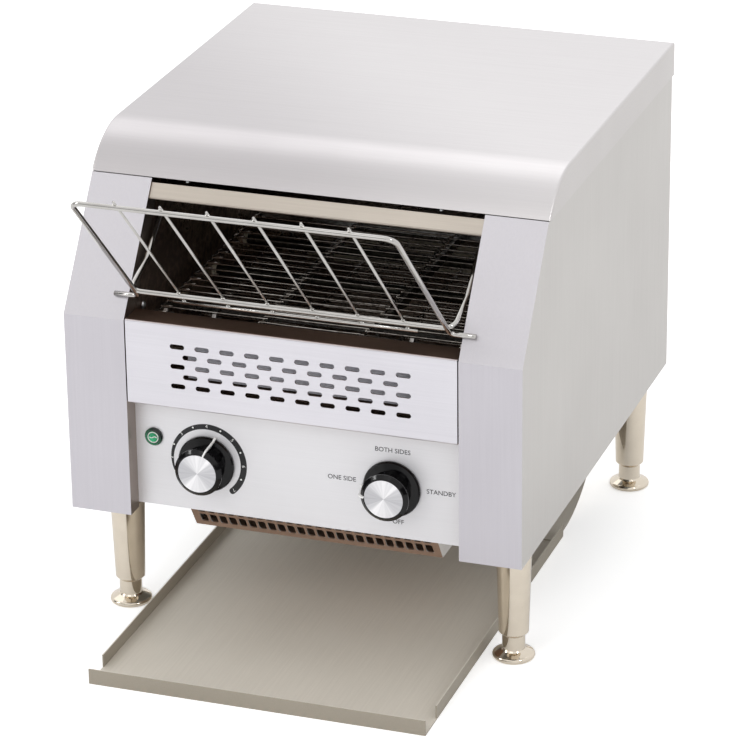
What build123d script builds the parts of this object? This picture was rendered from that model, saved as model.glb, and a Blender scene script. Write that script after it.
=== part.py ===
"""Countertop conveyor toaster: a folded sheet-metal body on four levelling legs, a wire belt that
carries bread past two banks of heating elements, a curved chute that turns the toast round at the
back, and a tray below the body that it slides onto.

Millimetres. +Z is up and the controls face -Y. The origin is the middle of the whole object's
footprint, on the surface that it stands on. A depth is measured to the rear from the upright
front faces of the body.
"""

import os
from math import atan2, cos, degrees, hypot, pi, sin, sqrt, tan

from build123d import *

# ---- Driving dimensions -------------------------------------------------------------------------

# body shell
body_width = 366.0          # over the side panels
body_depth = 418.0          # front faces to the rear of the cover
body_top = 387.0
body_bottom = 103.0
sheet = 1.0                 # outer sheet thickness
plate = 1.2                 # thickness of the inner walls, base and control panel
slant_start_z = 266.0       # where the front faces bend back
slant_rise = 93.0           # height of the slanted faces
slant_run = 66.0            # depth of the slanted faces
column_width = 49.5         # width of the folded front faces
column_return = 16.0        # depth of the flange folded inwards along them
lip_gap = 0.6               # seam between the cover's lip and the front faces
fit_gap = 0.3               # gap between neighbouring pieces that move or lift off
slip = 0.05                 # radial clearance of every pin, shaft and bore

# front panels
control_bottom_z = 107.5
control_top_z = 206.0
vent_bottom_z = 198.5
vent_top_z = 267.5
vent_side_gap = 1.0         # dark slit beside the vent panel
vent_flange = 24.0          # depth of the vent panel's top flange
slot_length = 11.7
slot_height = 3.9
slot_pitch = 20.1
slot_row_pitch = 8.1
slot_rows = 5
slot_columns = 10
slot_top_z = 249.7

# belt and drive
belt_top_z = 256.0          # middle of the upper strands
belt_pitch = 12.0
belt_wire = 1.6
belt_spaces = 24            # strand spaces between the two shafts
belt_side_gap = 6.0         # belt edge to the side of the opening
belt_teeth = 10
hook_share = 0.324          # place of the inner hooks, as a share of the half width
drive_depth = 46.6
shaft_radius = 4.0
sprocket_width = 3.0
sprocket_inset = 7.5        # outer sprockets, inside the belt's edge
chain_pitch = 6.35
chain_links = 50
chain_teeth_shaft = 24
chain_teeth_motor = 12
chain_offset = 14.25        # middle of the chain outside the inner wall
motor_depth = 100.0

# heat
element_radius = 4.0
upper_element_z = 331.0
upper_element_depths = (120.0, 175.0, 230.0, 285.0)
lower_element_depths = (120.0, 190.0, 260.0)
reflector_depth = 345.0

# toast path
chute_radius = 120.0
chute_flat = 24.0           # level part of the chute in front of its curve
chute_top_z = 230.0
chute_back_gap = 16.0       # chute to the rear of the cover
tray_side_reach = 2.3       # tray side outside the side of the opening
tray_reach = 89.0           # tray lip in front of the front faces
tray_overlap = 14.0         # tray floor under the chute's lip
tray_wall_height = 11.6
tray_lip_height = 12.7
tray_notch = 27.0           # the side walls start this far behind the lip

# loading rack
rack_wire = 4.0
rack_thin_wire = 2.4
rack_reach = 111.5          # upper bar in front of the front faces
rack_top_z = 402.8
rack_bar_depth = 2.6
rack_bar_z = 290.7
rack_top_inset = 10.1       # upper corners, inside the side of the opening
rack_foot_inset = 9.5       # lower ends of the front frame's legs
rack_arm_inset = 5.0        # arms that turn back into the opening
rack_peg_reach = 10.6       # peg tips, outside the side of the opening
rack_cross_inset = 35.8     # ends of the short cross wire
rack_thin_count = 6
rack_thin_margin = 34.15    # outer thin wires, inside the upper corners

# controls
knob_inset = 58.1           # knob axis, inside the side of the opening
knob_z = 148.3
knob_skirt_radius = 22.85
knob_reach = 21.0           # knob face in front of the control panel
spindle_radius = 3.0
lamp_inset = 15.0
lamp_z = 165.4
lamp_radius = 7.25

# legs
leg_inset = 23.0            # leg axis, inside the side panel
leg_front_depth = 55.0
leg_rear_gap = 31.0         # rear leg axis to the rear of the cover
leg_top_radius = 14.3
leg_low_radius = 11.8
leg_low_z = 20.0
foot_radius = 16.75
foot_stem_radius = 5.0

# cable entry
gland_inset = 31.0
gland_z = 140.0
gland_reach = 14.0          # gland dome behind the cover
gland_bore_radius = 4.2

# ---- Values worked out from them ----------------------------------------------------------------

front_y = (rack_reach + rack_wire / 2 - body_depth - gland_reach) / 2
side_x = body_width / 2
inner_side_x = side_x - sheet
column_x = side_x - column_width
wall_x = column_x + sheet + slip
wall_outer_x = wall_x + plate
belt_half_width = column_x - belt_side_gap
sprocket_x = belt_half_width - sprocket_inset
chain_x = wall_outer_x + chain_offset
chute_half_width = column_x + 2 * slip
tray_half_width = column_x + tray_side_reach
rack_top_x = column_x - rack_top_inset
rack_bar_x = column_x - rack_arm_inset
rack_thin_pitch = 2 * (rack_top_x - rack_thin_margin) / (rack_thin_count - 1)
knob_x = column_x - knob_inset
lamp_x = column_x - lamp_inset
leg_x = side_x - leg_inset
leg_depths = (leg_front_depth, body_depth - leg_rear_gap)
gland_x = side_x - gland_inset
chute_back_depth = body_depth - chute_back_gap
chute_centre_depth = chute_back_depth - chute_radius
chute_lip_depth = chute_centre_depth - chute_flat
tray_rear_depth = chute_lip_depth + tray_overlap
slant_angle = atan2(slant_run, slant_rise)
lip_z = slant_start_z + slant_rise
column_top_z = lip_z - lip_gap
base_top_z = body_bottom + plate
panel_depth = column_return
panel_rear = panel_depth + plate
back_depth = body_depth - sheet
belt_radius = belt_pitch / (2 * sin(pi / belt_teeth))
shaft_z = belt_top_z - belt_radius
idler_depth = drive_depth + belt_spaces * belt_pitch
chain_radius_shaft = chain_pitch / (2 * sin(pi / chain_teeth_shaft))
chain_radius_motor = chain_pitch / (2 * sin(pi / chain_teeth_motor))
free_links = 2 * chain_links - chain_teeth_shaft - chain_teeth_motor
tooth_step = (chain_teeth_shaft - chain_teeth_motor) / pi
chain_centres = chain_pitch / 8 * (free_links + sqrt(free_links**2 - 8 * tooth_step**2))
motor_z = shaft_z - sqrt(chain_centres**2 - (motor_depth - drive_depth) ** 2)


def at(x, depth, z):
    """A point from its x, its depth behind the front faces and its height."""
    return (x, front_y + depth, z)


def side_plane(x):
    """Plane across the object at x: sketch x is depth, sketch y is height."""
    return Plane(origin=at(x, 0, 0), x_dir=(0, 1, 0), z_dir=(1, 0, 0))


def front_plane(depth):
    """Plane facing the front at a depth: sketch x is x, sketch y is height."""
    return Plane(origin=at(0, depth, 0), x_dir=(1, 0, 0), z_dir=(0, -1, 0))


def top_plane(z):
    """Level plane at z: sketch x is x, sketch y is depth."""
    return Plane(origin=at(0, 0, z))


def knee(inset):
    """Corner between the upright and the slanted front, for a line inset behind them."""
    return (inset, slant_start_z - inset * tan(slant_angle / 2))


def slant_depth(z, inset=0.0):
    """Depth of the slanted front at a height, for a line inset behind it."""
    return (z - slant_start_z) * tan(slant_angle) + inset / cos(slant_angle)


def folded(points, thickness, bend, side=Side.LEFT):
    """Section of a folded sheet: a line with round bends, thickened to one side."""
    with BuildLine() as line:
        FilletPolyline(*points, radius=bend)
        offset(amount=thickness, side=side)
    make_face(line.edges())


def toothed(pitch_radius, teeth, root_drop, tip_rise, root_width, tip_width, first_angle):
    """Outline of a toothed wheel round the sketch's location."""
    root = pitch_radius - root_drop
    tip = pitch_radius + tip_rise
    Circle(root)
    with PolarLocations(0, teeth, start_angle=first_angle):
        Polygon(
            (root - 1, -root_width / 2),
            (tip, -tip_width / 2),
            (tip, tip_width / 2),
            (root - 1, root_width / 2),
            align=None,
        )


def rod(path, radius):
    """Round wire swept along a path."""
    with BuildSketch(Plane(origin=path @ 0, z_dir=path % 0)) as profile:
        Circle(radius)
    sweep(profile.sketch, path=path)


def finish(builder, label):
    """Labels a finished piece and writes its file."""
    builder.part.label = label
    export_step(builder.part, f"parts/{label}.step")


os.makedirs("parts", exist_ok=True)

# ---- Side panels --------------------------------------------------------------------------------
# Each side panel is one folded sheet: the side, the front face with its bend, the flange folded
# back beside the opening, a tab under the cover, and a flange across the rear for the back panel.

tab_height = 13.0
tab_setback = 18.0
tab_z = lip_z + tab_height
tab_depth = slant_run + tab_setback
rear_flange = 14.0
screw_radius = 1.9
back_screw_x = inner_side_x - rear_flange / 2
back_screw_heights = (125.0, 200.0, 275.0, 345.0)
front_line = [(0, body_bottom), (0, slant_start_z), (slant_depth(column_top_z), column_top_z)]

with BuildPart() as side_panel_right:
    with BuildSketch(side_plane(inner_side_x)):
        with BuildLine():
            Polyline(
                *front_line,
                (tab_depth, column_top_z),
                (tab_depth, tab_z),
                (back_depth - sheet, tab_z),
                (back_depth - sheet, body_bottom),
                close=True,
            )
        make_face()
    extrude(amount=sheet)
    for inset, end_x in ((sheet, side_x), (column_return, column_x + sheet)):
        with BuildSketch(side_plane(column_x)):
            with BuildLine():
                Polyline(
                    *front_line,
                    (slant_depth(column_top_z, inset), column_top_z),
                    knee(inset),
                    (inset, body_bottom),
                    close=True,
                )
            make_face()
        extrude(amount=end_x - column_x)
    with BuildSketch(front_plane(back_depth - sheet)):
        with Locations((back_screw_x, (body_bottom + tab_z) / 2)):
            Rectangle(rear_flange, tab_z - body_bottom)
        with Locations(*[(back_screw_x, z) for z in back_screw_heights]):
            Circle(screw_radius + slip, mode=Mode.SUBTRACT)
    extrude(amount=sheet)
finish(side_panel_right, "side_panel_right")

with BuildPart() as side_panel_left:
    mirror(side_panel_right.part, about=Plane.YZ)
finish(side_panel_left, "side_panel_left")

# ---- Cover --------------------------------------------------------------------------------------
# A drawn lid: flat top, a large front radius that runs out in line with the slanted faces, and a
# skirt down the sides and the rear. It slips over the side panels' tabs.

cover_x = side_x + sheet
cover_turn = pi / 2 - slant_angle
cover_radius = (body_top - lip_z) / (1 - cos(cover_turn))
cover_flat_depth = slant_run + cover_radius * sin(cover_turn)
cover_edge = 2.0
cover_screw_z = lip_z + 7.0
cover_screw_inset = 63.0
cover_screw_places = (cover_screw_inset - side_x, 0, side_x - cover_screw_inset)

with BuildPart() as top_cover:
    with BuildSketch(side_plane(-cover_x)):
        with BuildLine():
            RadiusArc((slant_run, lip_z), (cover_flat_depth, body_top), cover_radius)
            Polyline(
                (cover_flat_depth, body_top),
                (body_depth, body_top),
                (body_depth, lip_z),
                (slant_run, lip_z),
            )
        make_face()
    extrude(amount=2 * cover_x)
    top_face = top_cover.faces().sort_by(Axis.Z)[-1]
    side_edges = top_cover.edges().filter_by(Axis.Y).group_by(Axis.Z)[-1]
    curve_edges = top_cover.edges().filter_by(GeomType.CIRCLE)
    rear_edge = top_face.edges().sort_by(Axis.Y)[-1]
    fillet([*side_edges, *curve_edges, rear_edge], radius=cover_edge)
    offset(amount=-sheet, openings=top_cover.faces().sort_by(Axis.Z)[0])
    with BuildSketch(front_plane(body_depth)):
        with Locations(*[(x, cover_screw_z) for x in cover_screw_places]):
            Circle(screw_radius + slip)
    extrude(amount=sheet, mode=Mode.SUBTRACT)
finish(top_cover, "top_cover")

# ---- Back panel ---------------------------------------------------------------------------------
# Flat rear sheet with a field of cooling slots. It is screwed to the side panels' rear flanges,
# and carries the cable gland in its lower corner.

gland_thread_radius = 10.0
back_slot_rows = 5
back_slot_columns = 7
back_slot_length = 22.0
back_slot_pitch = 32.0
back_slot_row_pitch = 11.0
back_slot_z = 318.0

with BuildPart() as back_panel:
    with BuildSketch(front_plane(back_depth)):
        with Locations((0, (base_top_z + tab_z) / 2)):
            Rectangle(2 * inner_side_x, tab_z - base_top_z)
        with Locations((0, back_slot_z)):
            with GridLocations(
                back_slot_pitch, back_slot_row_pitch, back_slot_columns, back_slot_rows
            ):
                SlotOverall(back_slot_length, slot_height, mode=Mode.SUBTRACT)
        with Locations((-gland_x, gland_z)):
            Circle(gland_thread_radius + slip, mode=Mode.SUBTRACT)
        with Locations(*[(s * back_screw_x, z) for s in (-1, 1) for z in back_screw_heights]):
            Circle(screw_radius + slip, mode=Mode.SUBTRACT)
        with Locations(*[(x, cover_screw_z) for x in cover_screw_places]):
            Circle(screw_radius + slip, mode=Mode.SUBTRACT)
    extrude(amount=sheet)
finish(back_panel, "back_panel")

# ---- Screws -------------------------------------------------------------------------------------
# Pan-head screws: their heads seat on the sheet that they hold, their shanks pass through it.

screw_head_radius = 3.6
screw_head_height = 2.0
screw_reach = 8.0


def pan_screws(places, head_depth):
    """Pan-head screws driven forwards, with heads on a face at head_depth."""
    with BuildSketch(front_plane(head_depth)) as profile:
        with Locations(*places):
            Circle(screw_head_radius)
    extrude(profile.sketch, amount=-screw_head_height)
    with BuildSketch(front_plane(head_depth)) as profile:
        with Locations(*places):
            Circle(screw_radius)
    extrude(profile.sketch, amount=screw_reach)


with BuildPart() as back_panel_screws:
    pan_screws([(s * back_screw_x, z) for s in (-1, 1) for z in back_screw_heights], back_depth)
finish(back_panel_screws, "back_panel_screws")

with BuildPart() as cover_screws:
    pan_screws([(x, cover_screw_z) for x in cover_screw_places], body_depth)
finish(cover_screws, "cover_screws")

# ---- Base plate ---------------------------------------------------------------------------------
# Flat floor between the side panels, open over the vent trough and where the toast drops.

base_front_depth = 28.0
trough_inset = 31.4         # trough ends, inside the sides of the opening
trough_x = column_x - trough_inset
trough_front_depth = 38.5
trough_rear_depth = 206.0
trough_rim = 4.0
drop_front_depth = 340.0
drop_rear_depth = chute_back_depth + 2 * sheet
stud_radius = 4.0

with BuildPart() as base_plate:
    base_rear_depth = back_depth - 2 * sheet
    with BuildSketch(top_plane(body_bottom)):
        with Locations((0, (base_front_depth + base_rear_depth) / 2)):
            Rectangle(2 * inner_side_x, base_rear_depth - base_front_depth)
        with Locations((0, (trough_front_depth + trough_rear_depth) / 2)):
            Rectangle(
                2 * (trough_x - trough_rim),
                trough_rear_depth - trough_front_depth - 2 * trough_rim,
                mode=Mode.SUBTRACT,
            )
        with Locations((0, (drop_front_depth + drop_rear_depth) / 2)):
            Rectangle(
                2 * (wall_x - slip), drop_rear_depth - drop_front_depth, mode=Mode.SUBTRACT
            )
        with Locations(*[(s * leg_x, depth) for s in (-1, 1) for depth in leg_depths]):
            Circle(stud_radius + slip, mode=Mode.SUBTRACT)
    extrude(amount=plate)
finish(base_plate, "base_plate")

# ---- Vent trough --------------------------------------------------------------------------------
# Folded pan hung under the base plate. Its sloping front is perforated, and the fan stands on its
# floor over a round guard.

trough_floor_z = 75.0
trough_nose_depth = 56.5
trough_heel_depth = 190.0
hole_width = 6.2
hole_length = 10.8          # along the slope
hole_corner = 1.6
hole_pitch = 8.1
hole_row_pitch = 13.4
hole_margin = 4.5
hole_columns = int(2 * (trough_x - hole_margin) / hole_pitch)
hole_rows = 2
hole_start = 10.8           # first row's middle above the nose, along the slope
fan_x = -40.0
fan_depth = 130.0
fan_width = 80.0
fan_screw_inset = 5.0
fan_screw_radius = 2.2
fan_bore_radius = 38.0
guard_rib = 3.0
slope_rise = body_bottom - trough_floor_z
slope_run = trough_nose_depth - trough_front_depth
slope_angle = atan2(slope_run, slope_rise)

with BuildPart() as vent_trough:
    with BuildSketch(side_plane(-trough_x)):
        with BuildLine():
            Polyline(
                (trough_front_depth, body_bottom),
                (trough_nose_depth, trough_floor_z),
                (trough_heel_depth, trough_floor_z),
                (trough_rear_depth, body_bottom),
                close=True,
            )
        make_face()
    extrude(amount=2 * trough_x)
    offset(amount=-sheet, openings=vent_trough.faces().sort_by(Axis.Z)[-1])
    slope_plane = Plane(
        origin=at(0, trough_nose_depth, trough_floor_z),
        x_dir=(1, 0, 0),
        z_dir=(0, -cos(slope_angle), -sin(slope_angle)),
    )
    with BuildSketch(slope_plane):
        with Locations((0, hole_start + hole_row_pitch / 2)):
            with GridLocations(hole_pitch, hole_row_pitch, hole_columns, hole_rows):
                RectangleRounded(hole_width, hole_length, hole_corner)
    extrude(amount=-2 * sheet, mode=Mode.SUBTRACT)
    with BuildSketch(top_plane(trough_floor_z)):
        with Locations((fan_x, fan_depth)):
            Circle(fan_bore_radius - 2)
            Circle(fan_bore_radius / 2, mode=Mode.SUBTRACT)
            Circle(fan_bore_radius / 2 - guard_rib)
            Rectangle(2 * fan_bore_radius, guard_rib, mode=Mode.SUBTRACT)
            Rectangle(guard_rib, 2 * fan_bore_radius, mode=Mode.SUBTRACT)
    extrude(amount=sheet, mode=Mode.SUBTRACT)
finish(vent_trough, "vent_trough")

# ---- Cooling fan --------------------------------------------------------------------------------
# Square axial fan: a frame with a round duct and a motor seat on three struts, and a seven-blade
# rotor whose pin turns in the seat.

fan_height = 25.0
fan_hub_radius = 17.0
fan_blades = 7
fan_blade_width = 22.0
fan_blade_thickness = 1.4
fan_blade_twist = 38.0
fan_pin_radius = 2.0
fan_base_z = trough_floor_z + sheet
fan_seat = 4.0

with BuildPart() as fan_frame:
    with BuildSketch(top_plane(fan_base_z)):
        with Locations((fan_x, fan_depth)):
            RectangleRounded(fan_width, fan_width, 4)
            Circle(fan_bore_radius, mode=Mode.SUBTRACT)
            with GridLocations(fan_width - 2 * fan_screw_inset, fan_width - 2 * fan_screw_inset, 2, 2):
                Circle(fan_screw_radius, mode=Mode.SUBTRACT)
    extrude(amount=fan_height)
    with BuildSketch(top_plane(fan_base_z)):
        with Locations((fan_x, fan_depth)):
            Circle(fan_hub_radius)
            with PolarLocations(fan_bore_radius / 2 + 1, 3):
                Rectangle(fan_bore_radius, 4)
    extrude(amount=fan_seat)
    with BuildSketch(top_plane(fan_base_z)):
        with Locations((fan_x, fan_depth)):
            Circle(fan_pin_radius + slip)
    extrude(amount=fan_seat, mode=Mode.SUBTRACT)
finish(fan_frame, "fan_frame")

with BuildPart() as fan_rotor:
    with BuildSketch(top_plane(fan_base_z + fan_seat + fit_gap)):
        with Locations((fan_x, fan_depth)):
            Circle(fan_hub_radius)
    extrude(amount=fan_height - fan_seat - 2)
    with BuildSketch(top_plane(fan_base_z + 0.5)):
        with Locations((fan_x, fan_depth)):
            Circle(fan_pin_radius)
    extrude(amount=fan_seat + 1)
    for index in range(fan_blades):
        turn = 2 * pi * index / fan_blades
        blade_plane = Plane(
            origin=at(
                fan_x + (fan_hub_radius - 1) * cos(turn),
                fan_depth + (fan_hub_radius - 1) * sin(turn),
                fan_base_z + fan_height / 2 + 1,
            ),
            x_dir=(-sin(turn), cos(turn), 0),
            z_dir=(cos(turn), sin(turn), 0),
        )
        with BuildSketch(blade_plane):
            Rectangle(fan_blade_width, fan_blade_thickness, rotation=fan_blade_twist)
        extrude(amount=fan_bore_radius - fan_hub_radius - 1.5)
finish(fan_rotor, "fan_rotor")

# ---- Inner walls --------------------------------------------------------------------------------
# Upright plates that close the toasting tunnel off from the side compartments and carry the
# shafts and heating elements. They stand on the base plate behind the columns' return flanges.

wall_rear_depth = 405.0
wall_top_z = tab_z - 2.0
wall_inset = panel_rear
lower_element_z = shaft_z
bush_radius = 6.0
insulator_radius = 6.0
motor_hole_radius = 7.0
upper_elements = [(depth, upper_element_z) for depth in upper_element_depths]
lower_elements = [(depth, lower_element_z) for depth in lower_element_depths]
shaft_places = [(drive_depth, shaft_z), (idler_depth, shaft_z)]


def inner_wall(extra_hole):
    """Upright wall at the right of the tunnel, with an extra hole where one is given."""
    with BuildSketch(side_plane(wall_x)) as profile:
        with BuildLine():
            Polyline(
                (wall_inset, base_top_z),
                knee(wall_inset),
                (slant_depth(wall_top_z, wall_inset), wall_top_z),
                (wall_rear_depth, wall_top_z),
                (wall_rear_depth, base_top_z),
                close=True,
            )
        make_face()
        with Locations(*shaft_places):
            Circle(bush_radius + slip, mode=Mode.SUBTRACT)
        with Locations(*upper_elements, *lower_elements):
            Circle(insulator_radius + slip, mode=Mode.SUBTRACT)
        if extra_hole:
            with Locations(extra_hole):
                Circle(motor_hole_radius, mode=Mode.SUBTRACT)
    extrude(profile.sketch, amount=plate)


with BuildPart() as inner_wall_right:
    inner_wall((motor_depth, motor_z))
finish(inner_wall_right, "inner_wall_right")

with BuildPart() as plain_wall:
    inner_wall(None)
with BuildPart() as inner_wall_left:
    mirror(plain_wall.part, about=Plane.YZ)
finish(inner_wall_left, "inner_wall_left")

# ---- Control panel and vent panel ---------------------------------------------------------------
# The control panel stands back between the columns. The vent panel above it is a folded sheet
# flush with the columns: its lower flange meets the control panel, its top flange leads back
# under the belt's front, and a baffle hangs behind its slots.

panel_x = wall_x - slip
bushing_radius = 4.5
lamp_body_radius = 5.5
flange_drop = 14.0

with BuildPart() as control_panel:
    with BuildSketch(front_plane(panel_rear)):
        with Locations((0, (control_bottom_z + control_top_z) / 2)):
            Rectangle(2 * panel_x, control_top_z - control_bottom_z)
        with Locations((-knob_x, knob_z), (knob_x, knob_z)):
            Circle(bushing_radius + slip, mode=Mode.SUBTRACT)
        with Locations((-lamp_x, lamp_z)):
            Circle(lamp_body_radius + slip, mode=Mode.SUBTRACT)
    extrude(amount=plate)
finish(control_panel, "control_panel")

vent_x = column_x - vent_side_gap
slot_field_z = slot_top_z - slot_row_pitch * (slot_rows - 1) / 2

with BuildPart() as vent_panel:
    with BuildSketch(side_plane(-vent_x)):
        folded(
            [
                (panel_depth, vent_bottom_z),
                (0, vent_bottom_z),
                (0, vent_top_z),
                (vent_flange, vent_top_z),
                (vent_flange, vent_top_z - flange_drop),
            ],
            sheet,
            1.5,
            Side.RIGHT,
        )
    extrude(amount=2 * vent_x)
    with BuildSketch(front_plane(0)):
        with Locations((0, slot_field_z)):
            with GridLocations(slot_pitch, 2 * slot_row_pitch, slot_columns, slot_rows // 2 + 1):
                SlotOverall(slot_length, slot_height)
            with GridLocations(slot_pitch, 2 * slot_row_pitch, slot_columns - 1, slot_rows // 2):
                SlotOverall(slot_length, slot_height)
    extrude(amount=-2 * sheet, mode=Mode.SUBTRACT)
finish(vent_panel, "vent_panel")

baffle_left_x = -slot_pitch * (slot_columns - 1) / 2 + slot_length / 2 - sheet
baffle_depth = 9.0
baffle_bottom_z = 221.4

with BuildPart() as vent_baffle:
    with BuildSketch(side_plane(baffle_left_x)):
        folded(
            [
                (baffle_depth, baffle_bottom_z),
                (baffle_depth, vent_top_z - sheet),
                (vent_flange - 3 * sheet, vent_top_z - sheet),
            ],
            sheet,
            1.5,
            Side.RIGHT,
        )
    extrude(amount=vent_x - baffle_left_x)
finish(vent_baffle, "vent_baffle")

# ---- Hood, reflector and crumb pan --------------------------------------------------------------
# The hood closes the top of the feed opening just behind the slanted front, and its flange
# carries the front of the upper reflector. The crumb pan below the belt slopes to the rear.

hood_x = column_x - 0.2
hood_top_z = lip_z - 4.0
hood_bottom_z = 343.4
hood_inset = 1.6
hood_flange_depth = 100.0
reflector_z = hood_bottom_z + sheet
reflector_front_depth = 79.0
reflector_drop = 26.0

with BuildPart() as hood_deflector:
    with BuildSketch(side_plane(-hood_x)):
        folded(
            [
                (slant_depth(hood_top_z, hood_inset), hood_top_z),
                (slant_depth(hood_bottom_z, hood_inset), hood_bottom_z),
                (hood_flange_depth, hood_bottom_z),
            ],
            sheet,
            1.5,
            Side.LEFT,
        )
    extrude(amount=2 * hood_x)
finish(hood_deflector, "hood_deflector")

with BuildPart() as upper_reflector:
    with BuildSketch(side_plane(-panel_x)):
        folded(
            [
                (reflector_front_depth, reflector_z),
                (reflector_depth, reflector_z),
                (reflector_depth + reflector_drop / 2, reflector_z - reflector_drop),
            ],
            sheet,
            3,
            Side.LEFT,
        )
    extrude(amount=2 * panel_x)
finish(upper_reflector, "upper_reflector")

pan_front_depth = 21.0
pan_front_z = 202.0
pan_rear_z = 192.0
pan_upstand = 12.0

with BuildPart() as crumb_pan:
    with BuildSketch(side_plane(-panel_x)):
        folded(
            [
                (pan_front_depth, pan_front_z + pan_upstand),
                (pan_front_depth, pan_front_z),
                (drop_front_depth, pan_rear_z),
            ],
            sheet,
            3,
            Side.LEFT,
        )
    extrude(amount=2 * panel_x)
finish(crumb_pan, "crumb_pan")

# ---- Belt ---------------------------------------------------------------------------------------
# Flat-flex wire belt: one loose cross wire per pitch. Four link strips under the wires, at the
# edges and at two stations between, stand for the hooks that join each wire to the next. Both
# strands run straight between half turns round the sprockets, where the strips are jointed.

inner_hook = hook_share * belt_half_width
hook_stations = (-belt_half_width, -inner_hook, inner_hook, belt_half_width)
belt_span = belt_spaces * belt_pitch
turn_wires = belt_teeth // 2 - 1
turn_step = 360 / belt_teeth
strip_radius = belt_radius - belt_wire / 2 - slip

with BuildPart() as conveyor_belt:
    for strand_z in (belt_top_z, belt_top_z - 2 * belt_radius):
        with BuildSketch(top_plane(strand_z - belt_wire / 2)):
            with Locations((0, drive_depth + belt_span / 2)):
                with GridLocations(0, belt_pitch, 1, belt_spaces + 1):
                    Rectangle(2 * belt_half_width + belt_wire, belt_wire)
        extrude(amount=belt_wire)
    for depth, first_angle in ((drive_depth, 90), (idler_depth, -90)):
        with BuildSketch(side_plane(-belt_half_width - belt_wire / 2)):
            with Locations((depth, shaft_z)):
                with PolarLocations(
                    belt_radius,
                    turn_wires,
                    first_angle + turn_step,
                    180 - 2 * turn_step,
                    endpoint=True,
                ):
                    Rectangle(belt_wire, belt_wire)
        extrude(amount=2 * belt_half_width + belt_wire)
    for station in hook_stations:
        with BuildSketch(side_plane(station - belt_wire / 2)):
            with Locations((drive_depth + belt_span / 2, shaft_z)):
                SlotCenterToCenter(belt_span, 2 * strip_radius)
                SlotCenterToCenter(belt_span, 2 * (strip_radius - belt_wire), mode=Mode.SUBTRACT)
            with Locations((drive_depth + belt_span / 2, shaft_z)):
                with GridLocations(belt_span - belt_pitch, 0, 2, 1):
                    Rectangle(fit_gap, 2 * belt_radius, mode=Mode.SUBTRACT)
        extrude(amount=belt_wire)
finish(conveyor_belt, "conveyor_belt")

# ---- Belt shafts, sprockets and bushes ----------------------------------------------------------
# Four sprockets on each shaft reach between the belt's wires. Flanged bushes in the inner walls
# carry the shafts; the drive shaft's right end takes the chain sprocket.

bush_flange_radius = 8.5
bush_flange = 2.0
bush_inner_reach = 3.0
shaft_end_x = wall_outer_x + bush_flange + 4.0
drive_end_x = chain_x + 6.0
tooth_first_angle = 90 + 180 / belt_teeth
sprocket_stations = (-sprocket_x, -sprocket_x * 2 / 3, sprocket_x * 2 / 3, sprocket_x)


def belt_sprockets(depth):
    """Four belt sprockets bored for the shaft at a depth."""
    for station in sprocket_stations:
        with BuildSketch(side_plane(station - sprocket_width / 2)) as profile:
            with Locations((depth, shaft_z)):
                toothed(
                    belt_radius,
                    belt_teeth,
                    belt_wire / 2 + fit_gap,
                    2.4,
                    6.4,
                    3.0,
                    tooth_first_angle,
                )
                Circle(shaft_radius + slip, mode=Mode.SUBTRACT)
        extrude(profile.sketch, amount=sprocket_width)


with BuildPart() as drive_shaft:
    with BuildSketch(side_plane(-shaft_end_x)):
        with Locations((drive_depth, shaft_z)):
            Circle(shaft_radius)
    extrude(amount=shaft_end_x + drive_end_x)
finish(drive_shaft, "drive_shaft")

with BuildPart() as drive_sprockets:
    belt_sprockets(drive_depth)
finish(drive_sprockets, "drive_sprockets")

with BuildPart() as idler_shaft:
    with BuildSketch(side_plane(-shaft_end_x)):
        with Locations((idler_depth, shaft_z)):
            Circle(shaft_radius)
    extrude(amount=2 * shaft_end_x)
finish(idler_shaft, "idler_shaft")

with BuildPart() as idler_sprockets:
    belt_sprockets(idler_depth)
finish(idler_sprockets, "idler_sprockets")


def wall_rings(places, body_radius, flange_radius, flange, inner_reach, bore):
    """Flanged rings in the right wall: a body through the wall and a flange outside it."""
    for x, radius, length in (
        (wall_x - inner_reach, body_radius, inner_reach + plate),
        (wall_outer_x, flange_radius, flange),
    ):
        with BuildSketch(side_plane(x)) as profile:
            with Locations(*places):
                Circle(radius)
                Circle(bore, mode=Mode.SUBTRACT)
        extrude(profile.sketch, amount=length)


with BuildPart() as shaft_bushes:
    wall_rings(
        shaft_places,
        bush_radius,
        bush_flange_radius,
        bush_flange,
        bush_inner_reach,
        shaft_radius + slip,
    )
    mirror(about=Plane.YZ)
finish(shaft_bushes, "shaft_bushes")

# ---- Belt rails ---------------------------------------------------------------------------------
# Two flat bars on edge keep the upper strand level; two cross bars between the walls carry them.

rail_x = 45.0
rail_thickness = 3.0
rail_height = 8.0
rail_start_depth = 72.0
rail_end_depth = 309.0
cross_depths = (92.0, 290.0)
cross_height = 4.0
rail_top_z = belt_top_z - belt_wire / 2 - fit_gap

with BuildPart() as belt_rails:
    with BuildSketch(top_plane(rail_top_z - rail_height)):
        with Locations(*[(s * rail_x, (rail_start_depth + rail_end_depth) / 2) for s in (-1, 1)]):
            Rectangle(rail_thickness, rail_end_depth - rail_start_depth)
    extrude(amount=rail_height)
    with BuildSketch(top_plane(rail_top_z - rail_height - cross_height)):
        with Locations(*[(0, depth) for depth in cross_depths]):
            Rectangle(2 * panel_x, 10)
    extrude(amount=cross_height)
finish(belt_rails, "belt_rails")

# ---- Gear motor, chain and chain sprockets ------------------------------------------------------
# The motor is flanged to the inside of the right wall below the belt. A roller chain in the right
# side compartment joins its small sprocket to the large one on the drive shaft.

motor_radius = 28.0
motor_flange = 2.5
gearbox_length = 20.0
can_radius = 23.0
can_length = 24.0
motor_shaft_radius = 3.5
roller_radius = 1.65
chain_gap = 3.2             # between the side plates
chain_plate = 0.9
chain_plate_width = 5.0
chain_sprocket_width = 2.6

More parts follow.
